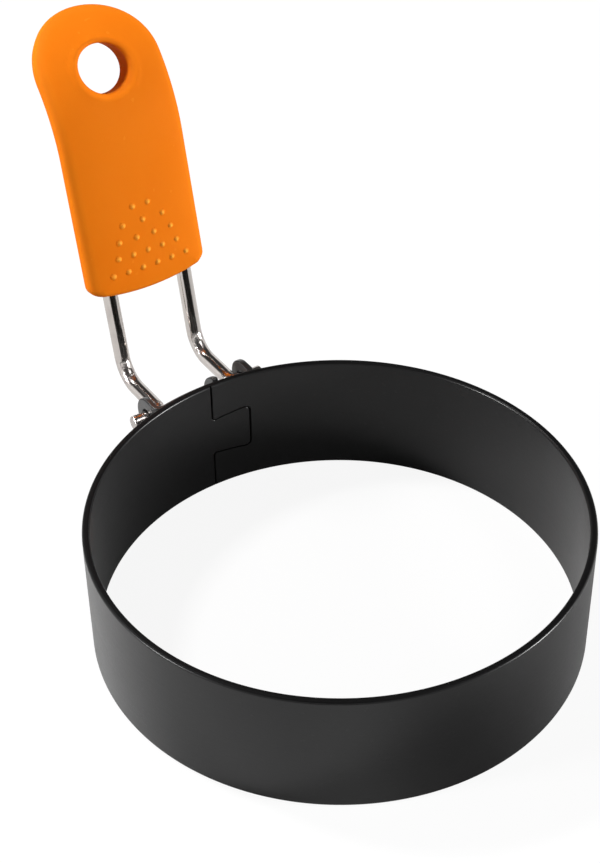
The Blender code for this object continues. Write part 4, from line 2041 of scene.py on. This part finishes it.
@dataclass
class Studio:
    """The pale floor, the white surroundings, the lamps and the camera.

    Attributes:
        target: What the lamps point at.
        floor_size: The floor's width.
        floor_drop: How far it lies under the ring, so that the two never share a plane.
        floor_glow: How bright the part of the floor's white is that needs no lamp.
        floor_white: How white the rest is, which holds the shadow.
        floor_shade: How much of the floor's white comes from the lamps.
        shade_reach: How far from the object the floor has turned all white.
        floor_gloss: How pale the floor shows in gloss.
        front_gloss: How pale it shows in gloss far out on the photographer's side, where its shade
            is painted.
        painted_dusk: How far out on that side the painted shade starts to darken the floor in
            gloss, and where it is full.
        painted_shadow_spot: The middle of a shadow painted on the floor just outside the ring,
            away from the handle, which only gloss shows.
        painted_shadow_reach: How far that painted shadow spreads.
        painted_shadow_depth: How much darker the painted shadow is.
        floor_bounce: How much light the floor throws back on the object.
        sky: How bright the surroundings light matt surfaces.
        ceiling: How bright the ceiling shows in gloss.
        wall_bottom: How high the white walls stay white, as an angle.
        wall_top: Where they have turned into the ceiling.
        lamps: The soft lamps.
        lens: The camera's lens, in millimetres.
        turn: How far the photographer stands round the ring's axis.
        tilt: How far the camera looks down.
        pan: How far it looks aside of the ring's axis.
        roll: How far it is rolled.
        back: How far it stands from the ring's axis.
        up: How high it stands.
        clip_start: The nearest distance that it sees.
    """

    target: Vector = field(default_factory=lambda: Vector((0, 0, 0.03)))
    floor_size: float = 4.0
    floor_drop: float = 0.00002
    floor_glow: float = 1.02
    floor_white: float = 0.86
    floor_shade: float = 0.12
    shade_reach: float = 0.55
    floor_gloss: float = 0.62
    front_gloss: float = 0.02
    painted_dusk: Window = (0.078, 0.112)
    painted_shadow_spot: Triple = (-0.0010, -0.0605, 0.0)
    painted_shadow_reach: float = 0.031
    painted_shadow_depth: float = 0.74
    floor_bounce: float = 0.20
    sky: float = 0.09
    ceiling: float = 0.05
    wall_bottom: float = radians(8)
    wall_top: float = radians(26)
    lamps: tuple[SoftLamp, ...] = (
        SoftLamp("right_softbox", 46, 8, 0.75, 0.16, 1.22),
        SoftLamp("left_softbox", -104, 17, 0.60, 0.12, 0.82),
        SoftLamp("back_softbox", -150, 52, 0.60, 0.09, 0.85),
        SoftLamp("upper_softbox", 40, 60, 0.75, 0.22, 0.18),
    )
    lens: float = 77.04
    turn: float = radians(-34.6)
    tilt: float = 0.6796
    pan: float = -0.0273
    roll: float = -0.0168
    back: float = 0.20226
    up: float = 0.19929
    clip_start: float = 0.01

    def backdrop(self) -> None:
        """Make the surroundings: white walls to the eye and in gloss, under a dim ceiling."""
        world = bpy.data.worlds.new("surroundings")
        bpy.context.scene.world = world
        world.use_nodes = True
        graph = Graph(world.node_tree)
        above = graph.part_of(graph.value("ShaderNodeTexCoord", {}, {}, "Generated"), "Z")
        low = above.step(sin(self.wall_top), sin(self.wall_bottom))
        wall = low * (1 - self.ceiling) + self.ceiling
        eye, gloss = self.shown(graph)
        light = self.sky + (wall - self.sky) * gloss
        inputs = {"Color": WHITE, "Strength": light + (1 - light) * eye}
        seen = graph.value("ShaderNodeBackground", {}, inputs)
        graph.node("ShaderNodeOutputWorld", {}, {"Surface": seen})

    def shown(self, graph: Graph) -> tuple[Value, Value]:
        """Tell apart what a ray of light is for.

        Args:
            graph: The material's or the surroundings' graph.

        Returns:
            1 for what the eye sees directly, and 1 for what gloss or glass shows.
        """
        path = graph.node("ShaderNodeLightPath", {}, {})
        eye = Value(graph, path.outputs["Is Camera Ray"])
        gloss = Value(graph, path.outputs["Is Glossy Ray"])
        glass = Value(graph, path.outputs["Is Transmission Ray"])
        return eye, gloss.largest(glass)

    def floor_paint(self) -> bpy.types.Material:
        """Return the floor's material: what the eye, gloss and matt surfaces see of it.

        Returns:
            The material.
        """
        paint = bpy.data.materials.new("pale_floor")
        paint.use_nodes = True
        graph = Graph(paint.node_tree)
        inputs = {"Color": WHITE, "Strength": self.floor_glow}
        glow = graph.value("ShaderNodeEmission", {}, inputs)
        eye, gloss = self.shown(graph)
        place = graph.place()
        # painted shade: far out on the photographer's side the floor shows dark in gloss only
        across = graph.part_of(place, "X") * sin(self.turn)
        toward = across - graph.part_of(place, "Y") * cos(self.turn)
        painted_dusk = toward.step(*self.painted_dusk)
        pale = self.floor_gloss + (self.front_gloss - self.floor_gloss) * painted_dusk
        # painted shadow: a soft darker patch of the floor round painted_shadow_spot, seen only in
        # gloss
        away = self.distance(graph, place, self.painted_shadow_spot)
        pale = pale * (1 - away.step(self.painted_shadow_reach, 0) * self.painted_shadow_depth)
        bounce = (1 - eye) * (1 - gloss) * self.floor_bounce
        inputs = {"Color": pale * gloss + eye * self.floor_white + bounce}
        matt = graph.value("ShaderNodeBsdfDiffuse", {}, inputs)
        reach = self.distance(graph, place, (0.0, 0.0, 0.0))
        shaded = reach.step(self.shade_reach, self.shade_reach / 2) * self.floor_shade
        inputs = {0: eye * (1 - shaded), 1: matt, 2: glow}
        mixed = graph.value("ShaderNodeMixShader", {}, inputs)
        graph.node("ShaderNodeOutputMaterial", {}, {"Surface": mixed})
        return paint

    def distance(self, graph: Graph, place: Value, spot: Triple) -> Value:
        """Return how far each place is from one spot.

        Args:
            graph: The material's graph.
            place: The places.
            spot: The spot.

        Returns:
            The distance, in metres.
        """
        settings = {"operation": "DISTANCE"}
        return graph.value("ShaderNodeVectorMath", settings, {0: place, 1: spot}, "Value")

    def floor(self) -> bpy.types.Object:
        """Make the pale floor, which keeps the object's shadow.

        Returns:
            The floor, kept out of the part.
        """
        half = self.floor_size / 2
        sides = [(-half, -half), (half, -half), (half, half), (-half, half)]
        corners = [(*side, -self.floor_drop) for side in sides]
        floor = linked("floor", mesh_of("floor", corners, [(0, 1, 2, 3)]))
        floor.data.materials.append(self.floor_paint())
        return floor

    def camera(self) -> bpy.types.Object:
        """Stand the camera where the photograph was taken from.

        Returns:
            The camera.
        """
        flat = cos(self.tilt)
        forward = Vector((sin(self.pan) * flat, cos(self.pan) * flat, -sin(self.tilt)))
        level = forward.cross(Vector((0, 0, 1))).normalized()
        above = level.cross(forward)
        right = level * cos(self.roll) + above * sin(self.roll)
        upward = above * cos(self.roll) - level * sin(self.roll)
        turn = Matrix.Rotation(self.turn, 3, "Z")
        axes = Matrix([turn @ right, turn @ upward, turn @ -forward]).transposed().to_4x4()
        spot = turn @ Vector((0, -self.back, self.up)) + RING_CENTRE
        data = bpy.data.cameras.new("photo_camera")
        data.lens = self.lens
        data.clip_start = self.clip_start
        camera = linked("photo_camera", data)
        camera.matrix_world = Matrix.Translation(spot) @ axes
        bpy.context.scene.camera = camera
        return camera

    def build(self) -> None:
        """Set up the whole studio."""
        self.backdrop()
        self.floor()
        for lamp in self.lamps:
            lamp.build(self.target)
        self.camera()
        bpy.context.scene.view_settings.view_transform = "Standard"
        log.info("studio: %d lamps", len(self.lamps))


def main() -> None:
    """Build the dressed egg ring and its studio."""
    logging.basicConfig(level=logging.INFO, format="%(name)s %(message)s")
    Studio().build()
    made = [Band().build(), Bracket().build(), *Handle().build()]
    log.info("%d pieces: %s", len(made), ", ".join(piece.name for piece in made))


if __name__ == "__main__":
    main()
